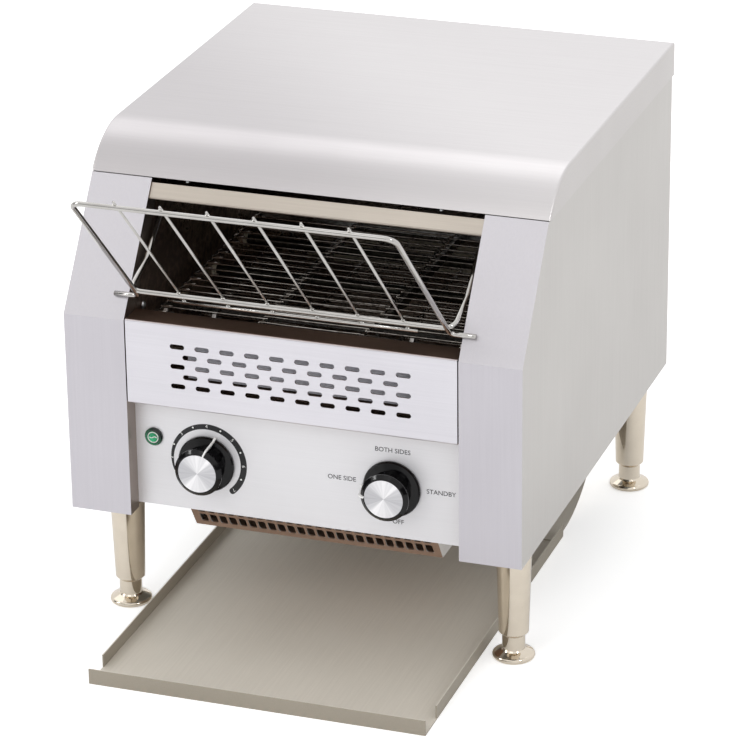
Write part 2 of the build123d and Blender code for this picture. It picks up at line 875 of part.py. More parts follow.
with BuildSketch(side_plane(chain_x)) as chain_pitch_line:
    with Locations((drive_depth, shaft_z)):
        Circle(chain_radius_shaft)
    with Locations((motor_depth, motor_z)):
        Circle(chain_radius_motor)
    make_hull()
chain_loop = chain_pitch_line.sketch_local.wire()
rollers = [chain_loop @ (index / chain_links) for index in range(chain_links)]


def roller_angle(depth, z):
    """Angle, round a sprocket's middle, of the roller that lies deepest in it."""
    other = (motor_depth + drive_depth - depth, motor_z + shaft_z - z)
    nearest = max(rollers, key=lambda point: hypot(point.X - other[0], point.Y - other[1]))
    return degrees(atan2(nearest.Y - z, nearest.X - depth))


with BuildPart() as drive_chain:
    for x in (chain_x - chain_gap / 2 - chain_plate, chain_x + chain_gap / 2):
        for side, mode in ((1, Mode.ADD), (-1, Mode.SUBTRACT)):
            half_width = side * chain_plate_width / 2
            with BuildSketch(side_plane(x)):
                with Locations((drive_depth, shaft_z)):
                    Circle(chain_radius_shaft + half_width)
                with Locations((motor_depth, motor_z)):
                    Circle(chain_radius_motor + half_width)
                make_hull()
            extrude(amount=chain_plate, mode=mode)
    with BuildSketch(side_plane(chain_x - chain_gap / 2 - chain_plate)):
        with Locations(*[(point.X, point.Y) for point in rollers]):
            RegularPolygon(roller_radius, 6)
    extrude(amount=chain_gap + 2 * chain_plate)
finish(drive_chain, "drive_chain")


def chain_sprocket(depth, z, radius, teeth, bore):
    """Chain sprocket with a hub on its inner side."""
    with BuildSketch(side_plane(chain_x - chain_sprocket_width / 2)) as profile:
        with Locations((depth, z)):
            toothed(
                radius,
                teeth,
                roller_radius + 0.2,
                1.3,
                2.6,
                1.2,
                roller_angle(depth, z) + 180 / teeth,
            )
            Circle(bore, mode=Mode.SUBTRACT)
    extrude(profile.sketch, amount=chain_sprocket_width)
    with BuildSketch(side_plane(chain_x - 7.0)) as profile:
        with Locations((depth, z)):
            Circle(bore + 3.0)
            Circle(bore, mode=Mode.SUBTRACT)
    extrude(profile.sketch, amount=7.0)


with BuildPart() as shaft_chain_sprocket:
    chain_sprocket(
        drive_depth, shaft_z, chain_radius_shaft, chain_teeth_shaft, shaft_radius + slip
    )
finish(shaft_chain_sprocket, "shaft_chain_sprocket")

with BuildPart() as motor_sprocket:
    chain_sprocket(
        motor_depth, motor_z, chain_radius_motor, chain_teeth_motor, motor_shaft_radius + slip
    )
finish(motor_sprocket, "motor_sprocket")

with BuildPart() as gear_motor:
    with BuildSketch(side_plane(wall_x)):
        with Locations((motor_depth, motor_z)):
            RectangleRounded(2 * motor_radius + 4, 2 * motor_radius + 4, 8)
    extrude(amount=-motor_flange)
    with BuildSketch(side_plane(wall_x - motor_flange)):
        with Locations((motor_depth, motor_z)):
            Circle(motor_radius)
    extrude(amount=-gearbox_length)
    with BuildSketch(side_plane(wall_x - motor_flange - gearbox_length)):
        with Locations((motor_depth, motor_z)):
            Circle(can_radius)
    extrude(amount=-can_length)
    with BuildSketch(side_plane(wall_x)):
        with Locations((motor_depth, motor_z)):
            Circle(motor_shaft_radius + slip)
    extrude(amount=-gearbox_length, mode=Mode.SUBTRACT)
finish(gear_motor, "gear_motor")

with BuildPart() as motor_shaft:
    with BuildSketch(side_plane(wall_x - gearbox_length + fit_gap)):
        with Locations((motor_depth, motor_z)):
            Circle(motor_shaft_radius)
    extrude(amount=chain_x + 5.0 - wall_x + gearbox_length - fit_gap)
finish(motor_shaft, "motor_shaft")

# ---- Heating elements ---------------------------------------------------------------------------
# Sheathed tubes across the tunnel, with connector pins at both ends, held in ceramic rings.

insulator_flange = 3.0
element_end_x = wall_outer_x + insulator_flange + 2.0
pin_radius = 1.2
pin_length = 6.0


def elements(places):
    """Straight heating tubes through both walls, with a connector pin at each end."""
    for end_x, radius in (
        (element_end_x, element_radius),
        (element_end_x + pin_length, pin_radius),
    ):
        with BuildSketch(side_plane(-end_x)) as profile:
            with Locations(*places):
                Circle(radius)
        extrude(profile.sketch, amount=2 * end_x)


with BuildPart() as heating_elements_upper:
    elements(upper_elements)
finish(heating_elements_upper, "heating_elements_upper")

with BuildPart() as heating_elements_lower:
    elements(lower_elements)
finish(heating_elements_lower, "heating_elements_lower")

with BuildPart() as element_insulators:
    wall_rings(
        upper_elements + lower_elements,
        insulator_radius,
        insulator_radius + 2.5,
        insulator_flange,
        3.0,
        element_radius + slip,
    )
    mirror(about=Plane.YZ)
finish(element_insulators, "element_insulators")

# ---- Toast chute and tray -----------------------------------------------------------------------
# The chute hangs from the back panel and sweeps round a large radius to a lip just over the
# tray's floor. The tray stands on the worktop between the legs and pulls out to the front.

chute_z = sheet + fit_gap
chute_hook = back_depth - sheet - chute_back_depth

with BuildPart() as toast_chute:
    with BuildSketch(side_plane(-chute_half_width)):
        with BuildLine():
            Line((chute_lip_depth, chute_z), (chute_centre_depth, chute_z))
            JernArc((chute_centre_depth, chute_z), (1, 0), chute_radius, 90)
            Line(
                (chute_back_depth, chute_z + chute_radius), (chute_back_depth, chute_top_z)
            )
            Line(
                (chute_back_depth, chute_top_z), (chute_back_depth + chute_hook, chute_top_z)
            )
            offset(amount=sheet, side=Side.LEFT)
        make_face()
    extrude(amount=2 * chute_half_width)
finish(toast_chute, "toast_chute")

with BuildPart() as toast_tray:
    tray_length = tray_reach + tray_rear_depth
    tray_middle = (tray_rear_depth - tray_reach) / 2
    with BuildSketch(top_plane(0)):
        with Locations((0, tray_middle)):
            Rectangle(2 * tray_half_width, tray_length)
    extrude(amount=sheet)
    with BuildSketch(top_plane(0)):
        with Locations((0, -tray_reach + sheet / 2)):
            Rectangle(2 * tray_half_width, sheet)
    extrude(amount=tray_lip_height)
    with BuildSketch(top_plane(0)):
        with Locations(
            *[(s * (tray_half_width - sheet / 2), tray_middle + tray_notch / 2) for s in (-1, 1)]
        ):
            Rectangle(sheet, tray_length - tray_notch)
    extrude(amount=tray_wall_height)
finish(toast_tray, "toast_tray")

# ---- Loading rack -------------------------------------------------------------------------------
# Welded wire rack. The front frame leans forward from pegs that rest on the slanted faces, thin
# wires run down it to a short cross wire, and the lower bar's ends turn back into the opening.

leaf_run = rack_reach + rack_bar_depth
leaf_drop = rack_top_z - rack_bar_z
leaf_length = hypot(leaf_run, leaf_drop)
leaf_down = (leaf_run / leaf_length, -leaf_drop / leaf_length)
leaf_inward = (-leaf_down[1], leaf_down[0])
wire_step = rack_wire / 2 + rack_thin_wire / 2 - 0.3
bar_clear = (rack_bar_z - slant_start_z) * sin(slant_angle) - rack_bar_depth * cos(slant_angle)
closing = leaf_down[0] * cos(slant_angle) - leaf_down[1] * sin(slant_angle)
peg_below = (bar_clear - rack_wire / 2 - fit_gap) / closing
peg_tip_x = column_x + rack_peg_reach
leg_foot_x = column_x - rack_foot_inset
tail_length = 15.7
thin_tip = 3.5
cross_wire_x = column_x - rack_cross_inset
arm_bend = (37.5, 303.7)
arm_end = (66.0, 328.4)


def on_leaf(x, below_bar, inward=0.0):
    """A point in the rack's front frame, by its distance down from the lower bar."""
    depth = rack_bar_depth + leaf_down[0] * below_bar + leaf_inward[0] * inward
    z = rack_bar_z + leaf_down[1] * below_bar + leaf_inward[1] * inward
    return at(x, depth, z)


with BuildLine() as frame_line:
    FilletPolyline(
        on_leaf(-peg_tip_x, peg_below),
        on_leaf(-leg_foot_x, peg_below),
        on_leaf(-rack_top_x, -leaf_length),
        on_leaf(rack_top_x, -leaf_length),
        on_leaf(leg_foot_x, peg_below),
        on_leaf(peg_tip_x, peg_below),
        radius=[5, 9, 9, 5],
    )
with BuildLine() as arm_line:
    FilletPolyline(
        at(-rack_bar_x, *arm_end),
        at(-rack_bar_x, *arm_bend),
        at(-rack_bar_x, rack_bar_depth, rack_bar_z),
        at(rack_bar_x, rack_bar_depth, rack_bar_z),
        at(rack_bar_x, *arm_bend),
        at(rack_bar_x, *arm_end),
        radius=[14, 9, 9, 14],
    )

with BuildPart() as loading_rack:
    rod(frame_line.line, rack_wire / 2)
    rod(arm_line.line, rack_wire / 2)
    thin_plane = Plane(
        origin=on_leaf(0, -leaf_length - thin_tip, wire_step),
        x_dir=(1, 0, 0),
        z_dir=(0, *leaf_down),
    )
    with BuildSketch(thin_plane):
        with GridLocations(rack_thin_pitch, 0, rack_thin_count, 1):
            Circle(rack_thin_wire / 2)
    extrude(amount=leaf_length + thin_tip + tail_length)
    cross_start = on_leaf(-cross_wire_x, tail_length - 1, wire_step - 2)
    with BuildSketch(Plane(origin=cross_start, z_dir=(1, 0, 0))):
        Circle(rack_thin_wire / 2)
    extrude(amount=2 * cross_wire_x)
finish(loading_rack, "loading_rack")

# ---- Controls -----------------------------------------------------------------------------------
# Speed: a potentiometer behind the panel. Mode: a rotary switch. Each has a threaded bushing
# through the panel with a nut in front, and a spindle that its knob is pressed on.

nut_radius = 7.0
nut_thickness = 2.2
bushing_depth = 11.5
spindle_end_depth = -1.0
speed_body_radius = 12.0
speed_body_length = 13.0
switch_body_size = 38.0
switch_body_length = 28.0
knob_back_depth = panel_depth - 1.0
knob_face_depth = panel_depth - knob_reach
knob_cavity_radius = 9.0
knob_cavity_depth = 5.0
skirt_thickness = 3.6
grip_base_radius = 16.4
grip_rim_radius = 19.1
grip_face_radius = 16.4
rim_depth = 2.5             # the rim's edge behind the knob's face
rim_thickness = 1.6
cap_radius = 15.4
cap_thickness = 1.0
flute_count = 10
flute_radius = 2.6
flute_cut = 1.7             # depth of a flute


def bushing(x):
    """Threaded bushing with its nut on the panel's face, bored for the spindle."""
    for depth, length, radius in (
        (panel_rear, panel_rear - bushing_depth, bushing_radius),
        (panel_depth, nut_thickness, nut_radius),
    ):
        with BuildSketch(front_plane(depth)) as profile:
            with Locations((x, knob_z)):
                if radius == nut_radius:
                    RegularPolygon(radius, 6)
                else:
                    Circle(radius)
        extrude(profile.sketch, amount=length)


def spindle_bore(x, length):
    """Bore for the spindle, from the bushing's end into the body."""
    with BuildSketch(front_plane(bushing_depth)) as profile:
        with Locations((x, knob_z)):
            Circle(spindle_radius + slip)
    extrude(profile.sketch, amount=-length, mode=Mode.SUBTRACT)


def spindle(x, rear_depth):
    """Spindle from its body to inside the knob."""
    with BuildSketch(front_plane(rear_depth)) as profile:
        with Locations((x, knob_z)):
            Circle(spindle_radius)
    extrude(profile.sketch, amount=rear_depth - spindle_end_depth)


def knob(x):
    """Fluted knob with a bevelled skirt, a rim round its cap and a socket for the spindle."""
    skirt_face_depth = knob_back_depth - skirt_thickness - 0.4
    rim_back_depth = knob_face_depth + rim_depth + rim_thickness
    grip_length = skirt_face_depth - rim_back_depth
    lean = atan2(grip_rim_radius - 0.6 - grip_base_radius, grip_length)
    flute_reach = (grip_rim_radius - 0.6 + grip_base_radius) / 2 + flute_radius - flute_cut
    axis = Axis(at(x, 0, knob_z), (0, -1, 0))
    with BuildSketch(Plane(origin=at(x, 0, knob_z))) as profile:
        with BuildLine():
            Polyline(
                (spindle_radius + slip, knob_back_depth - knob_cavity_depth),
                (knob_cavity_radius, knob_back_depth - knob_cavity_depth),
                (knob_cavity_radius, knob_back_depth),
                (knob_skirt_radius, knob_back_depth),
                (knob_skirt_radius, knob_back_depth - skirt_thickness / 3),
                (knob_skirt_radius - 0.8, knob_back_depth - skirt_thickness * 2 / 3),
                (grip_base_radius, skirt_face_depth),
                (grip_rim_radius - 0.6, rim_back_depth),
                (grip_rim_radius, rim_back_depth - 0.5),
                (grip_rim_radius, knob_face_depth + rim_depth),
                (grip_face_radius + 0.5, knob_face_depth + 0.5),
                (grip_face_radius, knob_face_depth),
                (cap_radius + slip, knob_face_depth),
                (cap_radius + slip, knob_face_depth + cap_thickness),
                (0, knob_face_depth + cap_thickness),
                (0, spindle_end_depth - fit_gap),
                (spindle_radius + slip, spindle_end_depth - fit_gap),
                close=True,
            )
        make_face()
    revolve(profile.sketch, axis=axis)
    with Locations(front_plane((skirt_face_depth + rim_back_depth) / 2)):
        with Locations((x, knob_z)):
            with PolarLocations(flute_reach, flute_count):
                Cylinder(
                    flute_radius,
                    grip_length / cos(lean),
                    rotation=(0, degrees(lean), 0),
                    mode=Mode.SUBTRACT,
                )


def knob_cap(x):
    """Spun metal disc let into the knob's face."""
    with BuildSketch(front_plane(knob_face_depth + cap_thickness)) as profile:
        with Locations((x, knob_z)):
            Circle(cap_radius)
    extrude(profile.sketch, amount=cap_thickness)


for label, x in (("speed", -knob_x), ("mode", knob_x)):
    with BuildPart() as knob_part:
        knob(x)
    finish(knob_part, f"{label}_knob")
    with BuildPart() as cap_part:
        knob_cap(x)
    finish(cap_part, f"{label}_knob_cap")

with BuildPart() as speed_potentiometer:
    with BuildSketch(front_plane(panel_rear + speed_body_length)):
        with Locations((-knob_x, knob_z)):
            Circle(speed_body_radius)
        with Locations((-knob_x, knob_z - speed_body_radius)):
            Rectangle(14, 10)
    extrude(amount=speed_body_length)
    bushing(-knob_x)
    spindle_bore(-knob_x, panel_rear - bushing_depth + speed_body_length - 2)
finish(speed_potentiometer, "speed_potentiometer")

with BuildPart() as speed_spindle:
    spindle(-knob_x, panel_rear + speed_body_length - 2 - fit_gap)
finish(speed_spindle, "speed_spindle")

with BuildPart() as mode_switch:
    with BuildSketch(front_plane(panel_rear + switch_body_length)):
        with Locations((knob_x, knob_z)):
            RectangleRounded(switch_body_size, switch_body_size, 3)
    extrude(amount=switch_body_length)
    bushing(knob_x)
    spindle_bore(knob_x, panel_rear - bushing_depth + switch_body_length - 4)
finish(mode_switch, "mode_switch")

with BuildPart() as mode_spindle:
    spindle(knob_x, panel_rear + switch_body_length - 4 - fit_gap)
finish(mode_spindle, "mode_spindle")

# ---- Indicator lamp -----------------------------------------------------------------------------
# A round bezel snapped into the panel, with a domed lens in its mouth.

bezel_height = 2.4
bezel_body_length = 16.0
lens_radius = 5.0

with BuildPart() as lamp_bezel:
    with BuildSketch(front_plane(panel_depth)):
        with Locations((-lamp_x, lamp_z)):
            Circle(lamp_radius)
    extrude(amount=bezel_height)
    chamfer(lamp_bezel.faces().sort_by(Axis.Y)[0].edges(), length=0.8)
    with BuildSketch(front_plane(panel_depth + bezel_body_length)):
        with Locations((-lamp_x, lamp_z)):
            Circle(lamp_body_radius)
    extrude(amount=bezel_body_length)
    with BuildSketch(front_plane(panel_depth - bezel_height)):
        with Locations((-lamp_x, lamp_z)):
            Circle(lens_radius + slip)
    extrude(amount=-bezel_height - 2, mode=Mode.SUBTRACT)
finish(lamp_bezel, "lamp_bezel")

with BuildPart() as lamp_lens:
    with BuildSketch(front_plane(panel_depth + 2)):
        with Locations((-lamp_x, lamp_z)):
            Circle(lens_radius)
    extrude(amount=bezel_height + 2.2)
    fillet(lamp_lens.faces().sort_by(Axis.Y)[0].edges(), radius=1.2)
finish(lamp_lens, "lamp_lens")

# ---- Terminal block -----------------------------------------------------------------------------
# Moulded block of five poles on the base plate, where the supply is joined to the wiring.

block_gap = 7.55            # between the block and the left inner wall
block_depth = 120.0
block_width = 20.0
block_length = 52.0
block_height = 16.0
block_poles = 5
block_x = block_gap + block_width / 2 - wall_x

with BuildPart() as terminal_block:
    with BuildSketch(top_plane(base_top_z)):
        with Locations((block_x, block_depth)):
            Rectangle(block_width, block_length)
    extrude(amount=block_height)
    chamfer(terminal_block.faces().sort_by(Axis.Z)[-1].edges().filter_by(Axis.Y), length=4)
    with BuildSketch(top_plane(base_top_z + block_height)):
        with Locations((block_x, block_depth)):
            with GridLocations(0, block_length / block_poles, 1, block_poles):
                Rectangle(6, 5)
    extrude(amount=-7, mode=Mode.SUBTRACT)
finish(terminal_block, "terminal_block")

# ---- Cable gland --------------------------------------------------------------------------------
# Domed strain relief in the back panel, with its nut inside.

gland_inner_reach = 11.0
gland_nut_thickness = 5.0
gland_flange_radius = 13.0
gland_dome_radius = 9.0

with BuildPart() as cable_gland:
    gland_end_depth = body_depth + gland_reach
    with BuildSketch(Plane(origin=at(-gland_x, 0, gland_z))):
        with BuildLine():
            Polyline(
                (gland_bore_radius, back_depth - gland_inner_reach),
                (gland_thread_radius, back_depth - gland_inner_reach),
                (gland_thread_radius, back_depth),
                (gland_flange_radius, back_depth),
                (gland_flange_radius, back_depth + 5),
                (gland_dome_radius, gland_end_depth - 1.5),
                (gland_dome_radius - 1.5, gland_end_depth),
                (gland_bore_radius, gland_end_depth),
                close=True,
            )
        make_face()
    revolve(axis=Axis(at(-gland_x, 0, gland_z), (0, 1, 0)))
finish(cable_gland, "cable_gland")

with BuildPart() as gland_nut:
    with BuildSketch(front_plane(back_depth - sheet)):
        with Locations((-gland_x, gland_z)):
            RegularPolygon(gland_flange_radius, 6)
            Circle(gland_thread_radius + slip, mode=Mode.SUBTRACT)
    extrude(amount=gland_nut_thickness)
finish(gland_nut, "gland_nut")

# ---- Legs and levelling feet --------------------------------------------------------------------
# Turned legs taper down from the base plate, each held by a stud and nut. A foot's stem turns in
# the leg's lower end, and its neck is drawn up to 0.3 mm from the leg.

leg_chamfer = 2.4
leg_bore_top_z = 68.0
stud_top_z = base_top_z + 9.0
foot_neck_radius = 9.0
foot_rim_z = 4.6
foot_dome_z = 7.0
foot_stem_top_z = 62.0


def upright_plane(x, depth):
    """Upright plane through a leg's axis."""
    return Plane(origin=at(x, depth, 0), x_dir=(1, 0, 0), z_dir=(0, -1, 0))


for end, depth in zip(("front", "rear"), leg_depths):
    for hand, x in (("left", -leg_x), ("right", leg_x)):
        axis = Axis(at(x, depth, 0), (0, 0, 1))
        with BuildPart() as leg:
            with BuildSketch(upright_plane(x, depth)):
                with BuildLine():
                    Polyline(
                        (foot_stem_radius + slip, leg_low_z),
                        (leg_low_radius - leg_chamfer, leg_low_z),
                        (leg_low_radius, leg_low_z + leg_chamfer),
                        (leg_top_radius, body_bottom),
                        (stud_radius, body_bottom),
                        (stud_radius, stud_top_z),
                        (0, stud_top_z),
                        (0, leg_bore_top_z),
                        (foot_stem_radius + slip, leg_bore_top_z),
                        close=True,
                    )
                make_face()
            revolve(axis=axis)
        finish(leg, f"leg_{end}_{hand}")
        with BuildPart() as foot:
            with BuildSketch(upright_plane(x, depth)):
                with BuildLine():
                    Polyline((0, foot_stem_top_z), (0, 0), (foot_radius - 1.8, 0))
                    ThreePointArc(
                        (foot_radius - 1.8, 0),
                        (foot_radius, foot_rim_z / 2),
                        (foot_radius - 1.8, foot_rim_z),
                    )
                    Polyline(
                        (foot_radius - 1.8, foot_rim_z),
                        (foot_neck_radius + 1.0, foot_dome_z),
                        (foot_neck_radius, foot_dome_z + 1.2),
                        (foot_neck_radius, leg_low_z - fit_gap),
                        (foot_stem_radius, leg_low_z - fit_gap),
                        (foot_stem_radius, foot_stem_top_z),
                        (0, foot_stem_top_z),
                    )
                make_face()
            revolve(axis=axis)
        finish(foot, f"foot_{end}_{hand}")

with BuildPart() as leg_nuts:
    with BuildSketch(top_plane(base_top_z)):
        with Locations(*[(s * leg_x, depth) for s in (-1, 1) for depth in leg_depths]):
            RegularPolygon(7.5, 6)
            Circle(stud_radius + slip, mode=Mode.SUBTRACT)
    extrude(amount=6.5)
finish(leg_nuts, "leg_nuts")
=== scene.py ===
from math import radians

import bpy
import numpy as np
from mathutils import Matrix, Vector


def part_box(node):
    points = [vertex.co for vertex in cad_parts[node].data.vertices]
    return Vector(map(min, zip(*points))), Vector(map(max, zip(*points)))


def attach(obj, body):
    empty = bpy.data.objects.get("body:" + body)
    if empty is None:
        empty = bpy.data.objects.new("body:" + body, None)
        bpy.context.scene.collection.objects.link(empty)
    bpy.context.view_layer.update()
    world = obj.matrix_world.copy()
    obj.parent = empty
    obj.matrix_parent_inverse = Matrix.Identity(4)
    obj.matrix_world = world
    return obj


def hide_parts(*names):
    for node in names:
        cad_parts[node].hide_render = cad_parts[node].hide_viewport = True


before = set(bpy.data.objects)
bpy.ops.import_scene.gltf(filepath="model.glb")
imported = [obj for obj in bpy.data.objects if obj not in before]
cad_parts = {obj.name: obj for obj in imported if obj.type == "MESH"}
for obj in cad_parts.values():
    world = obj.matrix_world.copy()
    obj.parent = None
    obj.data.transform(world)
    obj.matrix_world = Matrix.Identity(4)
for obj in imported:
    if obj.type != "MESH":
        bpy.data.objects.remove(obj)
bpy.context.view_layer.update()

# ---- Camera and studio ---------------------------------------------------------------------------
# A white product table: a long lens from the front right, soft lamps above and in front, and an
# even white room. Boards that only shiny faces mirror set how light or dark each side looks.


def set_down(name, data):
    """New object made of data, in the scene."""
    made = bpy.data.objects.new(name, data)
    bpy.context.scene.collection.objects.link(made)
    return made


camera = set_down("camera", bpy.data.cameras.new("camera"))
camera.data.lens = 186.508
camera.data.sensor_width = 36
camera.data.clip_end = 50
camera.matrix_world = (
    Matrix.Translation((0.933903, -2.620875, 1.365421))
    @ Matrix.Rotation(radians(19.488), 4, "Z")
    @ Matrix.Rotation(radians(66.912), 4, "X")
    @ Matrix.Rotation(radians(-0.748), 4, "Z")
)
bpy.context.scene.camera = camera
bpy.context.scene.view_settings.view_transform = "Standard"


def paint(code):
    """Linear red, green, blue and alpha of an sRGB hex colour."""
    parts = [int(code[place : place + 2], 16) / 255 for place in (1, 3, 5)]
    linear = [c / 12.92 if c <= 0.04045 else ((c + 0.055) / 1.055) ** 2.4 for c in parts]
    return (*linear, 1.0)


def add(tree, kind, inputs=None, **settings):
    """Adds a shader node. Each input is given a number or colour, or the output that feeds it."""
    made = tree.nodes.new("ShaderNode" + kind)
    for name, value in settings.items():
        setattr(made, name, value)
    for name, value in (inputs or {}).items():
        if isinstance(value, bpy.types.NodeSocket):
            tree.links.new(value, made.inputs[name])
        else:
            made.inputs[name].default_value = value
    return made


def new_shader(owner):
    """Empty node tree of a material or a world."""
    owner.use_nodes = True
    owner.node_tree.nodes.clear()
    return owner.node_tree


def turn_to(thing, place, aim):
    """Puts a lamp or a board at a place and faces it to the aim."""
    thing.location = place
    away = thing.location - Vector(aim)
    thing.rotation_euler = away.to_track_quat("Z", "Y").to_euler()


def soft_lamp(name, place, aim, width, height, power, mirrored):
    """Square soft box at a place, turned to face the aim, and mirrored in shiny faces or not."""
    lamp = bpy.data.lights.new(name, "AREA")
    lamp.shape, lamp.size, lamp.size_y, lamp.energy = "RECTANGLE", width, height, power
    box = set_down(name, lamp)
    turn_to(box, place, aim)
    box.visible_camera = False
    box.visible_glossy = mirrored


soft_lamp("top_lamp", (-0.9, 1.5, 2.3), (0, 0, 0.2), 3.2, 1.6, 8, True)
soft_lamp("front_lamp", (-0.9, -2.4, 1.9), (0, 0, 0.2), 1.4, 1.4, 15, False)


def flat_board(name, width, height, material):
    """Rectangle of width by height about the origin."""
    mesh = bpy.data.meshes.new(name)
    x, y = width / 2, height / 2
    mesh.from_pydata([(-x, -y, 0), (x, -y, 0), (x, y, 0), (-x, y, 0)], [], [(0, 1, 2, 3)])
    mesh.materials.append(material)
    return set_down(name, mesh)


def mirror_card(name, place, aim, width, height, level):
    """Board that only shiny faces see: it sets how bright they look, and lights nothing else."""
    material = bpy.data.materials.new(name)
    tree = new_shader(material)
    grey = add(tree, "Emission", {"Color": (level, level, level, 1.0)})
    add(tree, "OutputMaterial", {"Surface": grey.outputs[0]})
    card = flat_board(name, width, height, material)
    turn_to(card, place, aim)
    card.visible_camera = card.visible_diffuse = card.visible_shadow = False
    card.visible_transmission = False


mirror_card("front_card", (-0.93, -2.6, 1.15), (0, 0, 0.2), 3.6, 1.7, 0.57)
mirror_card("high_card", (-0.3, -2.7, 3.0), (0, 0, 0.3), 1.6, 1.2, 1.65)
mirror_card("left_card", (-2.6, -0.6, 0.5), (0, 0, 0.2), 0.9, 1.6, 0.1)
mirror_card("right_card", (2.4, -1.7, 0.5), (0, 0, 0.2), 0.5, 1.6, 0.1)
mirror_card("left_strip", (-1.9, -1.1, 1.3), (0, 0, 0.2), 0.22, 1.1, 12)
mirror_card("right_strip", (1.7, -1.0, 1.7), (0, 0, 0.2), 0.18, 1.0, 10)


def seen_or_mirrored(tree):
    """The light path, and 1 for a ray from the camera or one that a shiny face sends on."""
    path = add(tree, "LightPath")
    either = add(
        tree, "Math", {0: path.outputs["Is Camera Ray"], 1: path.outputs["Is Glossy Ray"]},
        operation="MAXIMUM",
    )
    return path, either.outputs[0]


# The room is plain white where it is seen or mirrored, and a little dimmer as a light.
white_room = bpy.data.worlds.new("white_room")
tree = new_shader(white_room)
path, looked_at = seen_or_mirrored(tree)
seen_direct = add(
    tree, "Math", {0: looked_at, 1: path.outputs["Is Transmission Ray"]}, operation="MAXIMUM"
)
lit = add(tree, "Background", {"Color": paint("#FFFFFF"), "Strength": 0.82})
plain = add(tree, "Background", {"Color": paint("#FFFFFF"), "Strength": 1.0})
either = add(tree, "MixShader", {0: seen_direct.outputs[0], 1: lit.outputs[0], 2: plain.outputs[0]})
add(tree, "OutputWorld", {"Surface": either.outputs[0]})
bpy.context.scene.world = white_room

# White laminate table top, seen as plain white with the toaster's own soft shadow on it.
white_laminate = bpy.data.materials.new("white_laminate")
tree = new_shader(white_laminate)
path, looked_at = seen_or_mirrored(tree)
lift = add(
    tree, "MapRange", {"Value": path.outputs["Is Camera Ray"], "To Min": 0.18, "To Max": 0.5}
)
laminate = add(tree, "BsdfDiffuse", {"Color": paint("#F4F4F4")})
glow = add(tree, "Emission", {"Color": paint("#FFFFFF"), "Strength": lift.outputs[0]})
lifted = add(tree, "AddShader", {0: laminate.outputs[0], 1: glow.outputs[0]})
either = add(tree, "MixShader", {0: looked_at, 1: laminate.outputs[0], 2: lifted.outputs[0]})
add(tree, "OutputMaterial", {"Surface": either.outputs[0]})
table_top = flat_board("table_top", 18, 18, white_laminate)

# ---- Outer shell: side panels, cover, back panel -------------------------------------------------
# The sides are folded from 1 mm stainless sheet with the front columns in one piece, the cover is
# a rolled sheet that laps over them, and the back panel is screwed to their rear returns.
# All of it is brushed: the grain runs up the columns and sides, and across the cover.


def new_finish(name):
    """Empty material, its node tree, and the place on the object in metres."""
    material = bpy.data.materials.new(name)
    tree = new_shader(material)
    return material, tree, add(tree, "TexCoord").outputs["Object"]


def brushed(
    name, light, dark, along, roughness, spread=0.05, grain=1.3, length=90, relief=0.03, metal=1.0
):
    """Brushed stainless: streaks grain mm wide and length mm long change tone, roughness, relief.

    The real grit is under 0.2 mm, so it is drawn at grain mm to show at all.
    """
    material, tree, place = new_finish(name)
    scale = [1000 / grain] * 3
    scale["xyz".index(along)] = 1000 / length
    stretched = add(tree, "Mapping", {"Vector": place, "Scale": scale})
    streaks = add(
        tree, "TexNoise",
        {"Vector": stretched.outputs[0], "Scale": 1.0, "Detail": 3.0, "Roughness": 0.65},
    )
    cloud = add(tree, "TexNoise", {"Vector": place, "Scale": 9.0, "Detail": 2.0})
    mixed = add(
        tree, "Math", {0: streaks.outputs["Fac"], 1: cloud.outputs["Fac"]}, operation="ADD"
    )
    share = add(
        tree, "MapRange", {"Value": mixed.outputs[0], "From Min": 0.65, "From Max": 1.35}
    )
    tone = add(
        tree, "Mix", {0: share.outputs[0], 6: paint(dark), 7: paint(light)}, data_type="RGBA"
    )
    rough = add(
        tree, "MapRange",
        {"Value": share.outputs[0], "To Min": roughness + spread, "To Max": roughness - spread},
    )
    relieved = add(
        tree, "Bump",
        {"Height": streaks.outputs["Fac"], "Strength": relief, "Distance": 0.0005},
    )
    surface = add(
        tree, "BsdfPrincipled",
        {
            "Base Color": tone.outputs[2], "Metallic": metal, "Roughness": rough.outputs[0],
            "Normal": relieved.outputs[0],
        },
    )
    add(tree, "OutputMaterial", {"Surface": surface.outputs[0]})
    return material


def dress(material, *nodes):
    """Puts a material on CAD nodes."""
    for name in nodes:
        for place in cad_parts[name].material_slots:
            place.material = material


side_sheet = brushed(
    "brushed_stainless_sides", "#CECBD1", "#C9C6CC", "z", 0.38, spread=0.03, relief=0.02
)
cover_sheet = brushed("brushed_stainless_cover", "#DEDBDC", "#D8D5D6", "x", 0.34)


def film_over(material, share, bare, full):
    """Multiplies a sheet's colour by bare where the share is 0 and by full where it is 1."""
    tree = material.node_tree
    colour = tree.nodes["Principled BSDF"].inputs["Base Color"]
    # The film is only a colour multiplier: painted shade on the sides, the cover and the tray, and
    # a painted reflection on the vent panel.
    film = add(tree, "Mix", {0: share, 6: paint(bare), 7: paint(full)}, data_type="RGBA")
    multiplied_colour = add(
        tree, "Mix", {0: 1.0, 6: colour.links[0].from_socket, 7: film.outputs[2]},
        data_type="RGBA", blend_type="MULTIPLY",
    )
    tree.links.new(multiplied_colour.outputs[2], colour)


def dulled_off(material, axis, code):
    """Multiplies a sheet's colour by a code on the faces that don't look along an axis."""
    tree = material.node_tree
    facing = add(tree, "SeparateXYZ", {0: add(tree, "NewGeometry").outputs["Normal"]})
    level = add(tree, "Math", {0: facing.outputs[axis]}, operation="ABSOLUTE")
    film_over(material, level.outputs[0], code, "#FFFFFF")


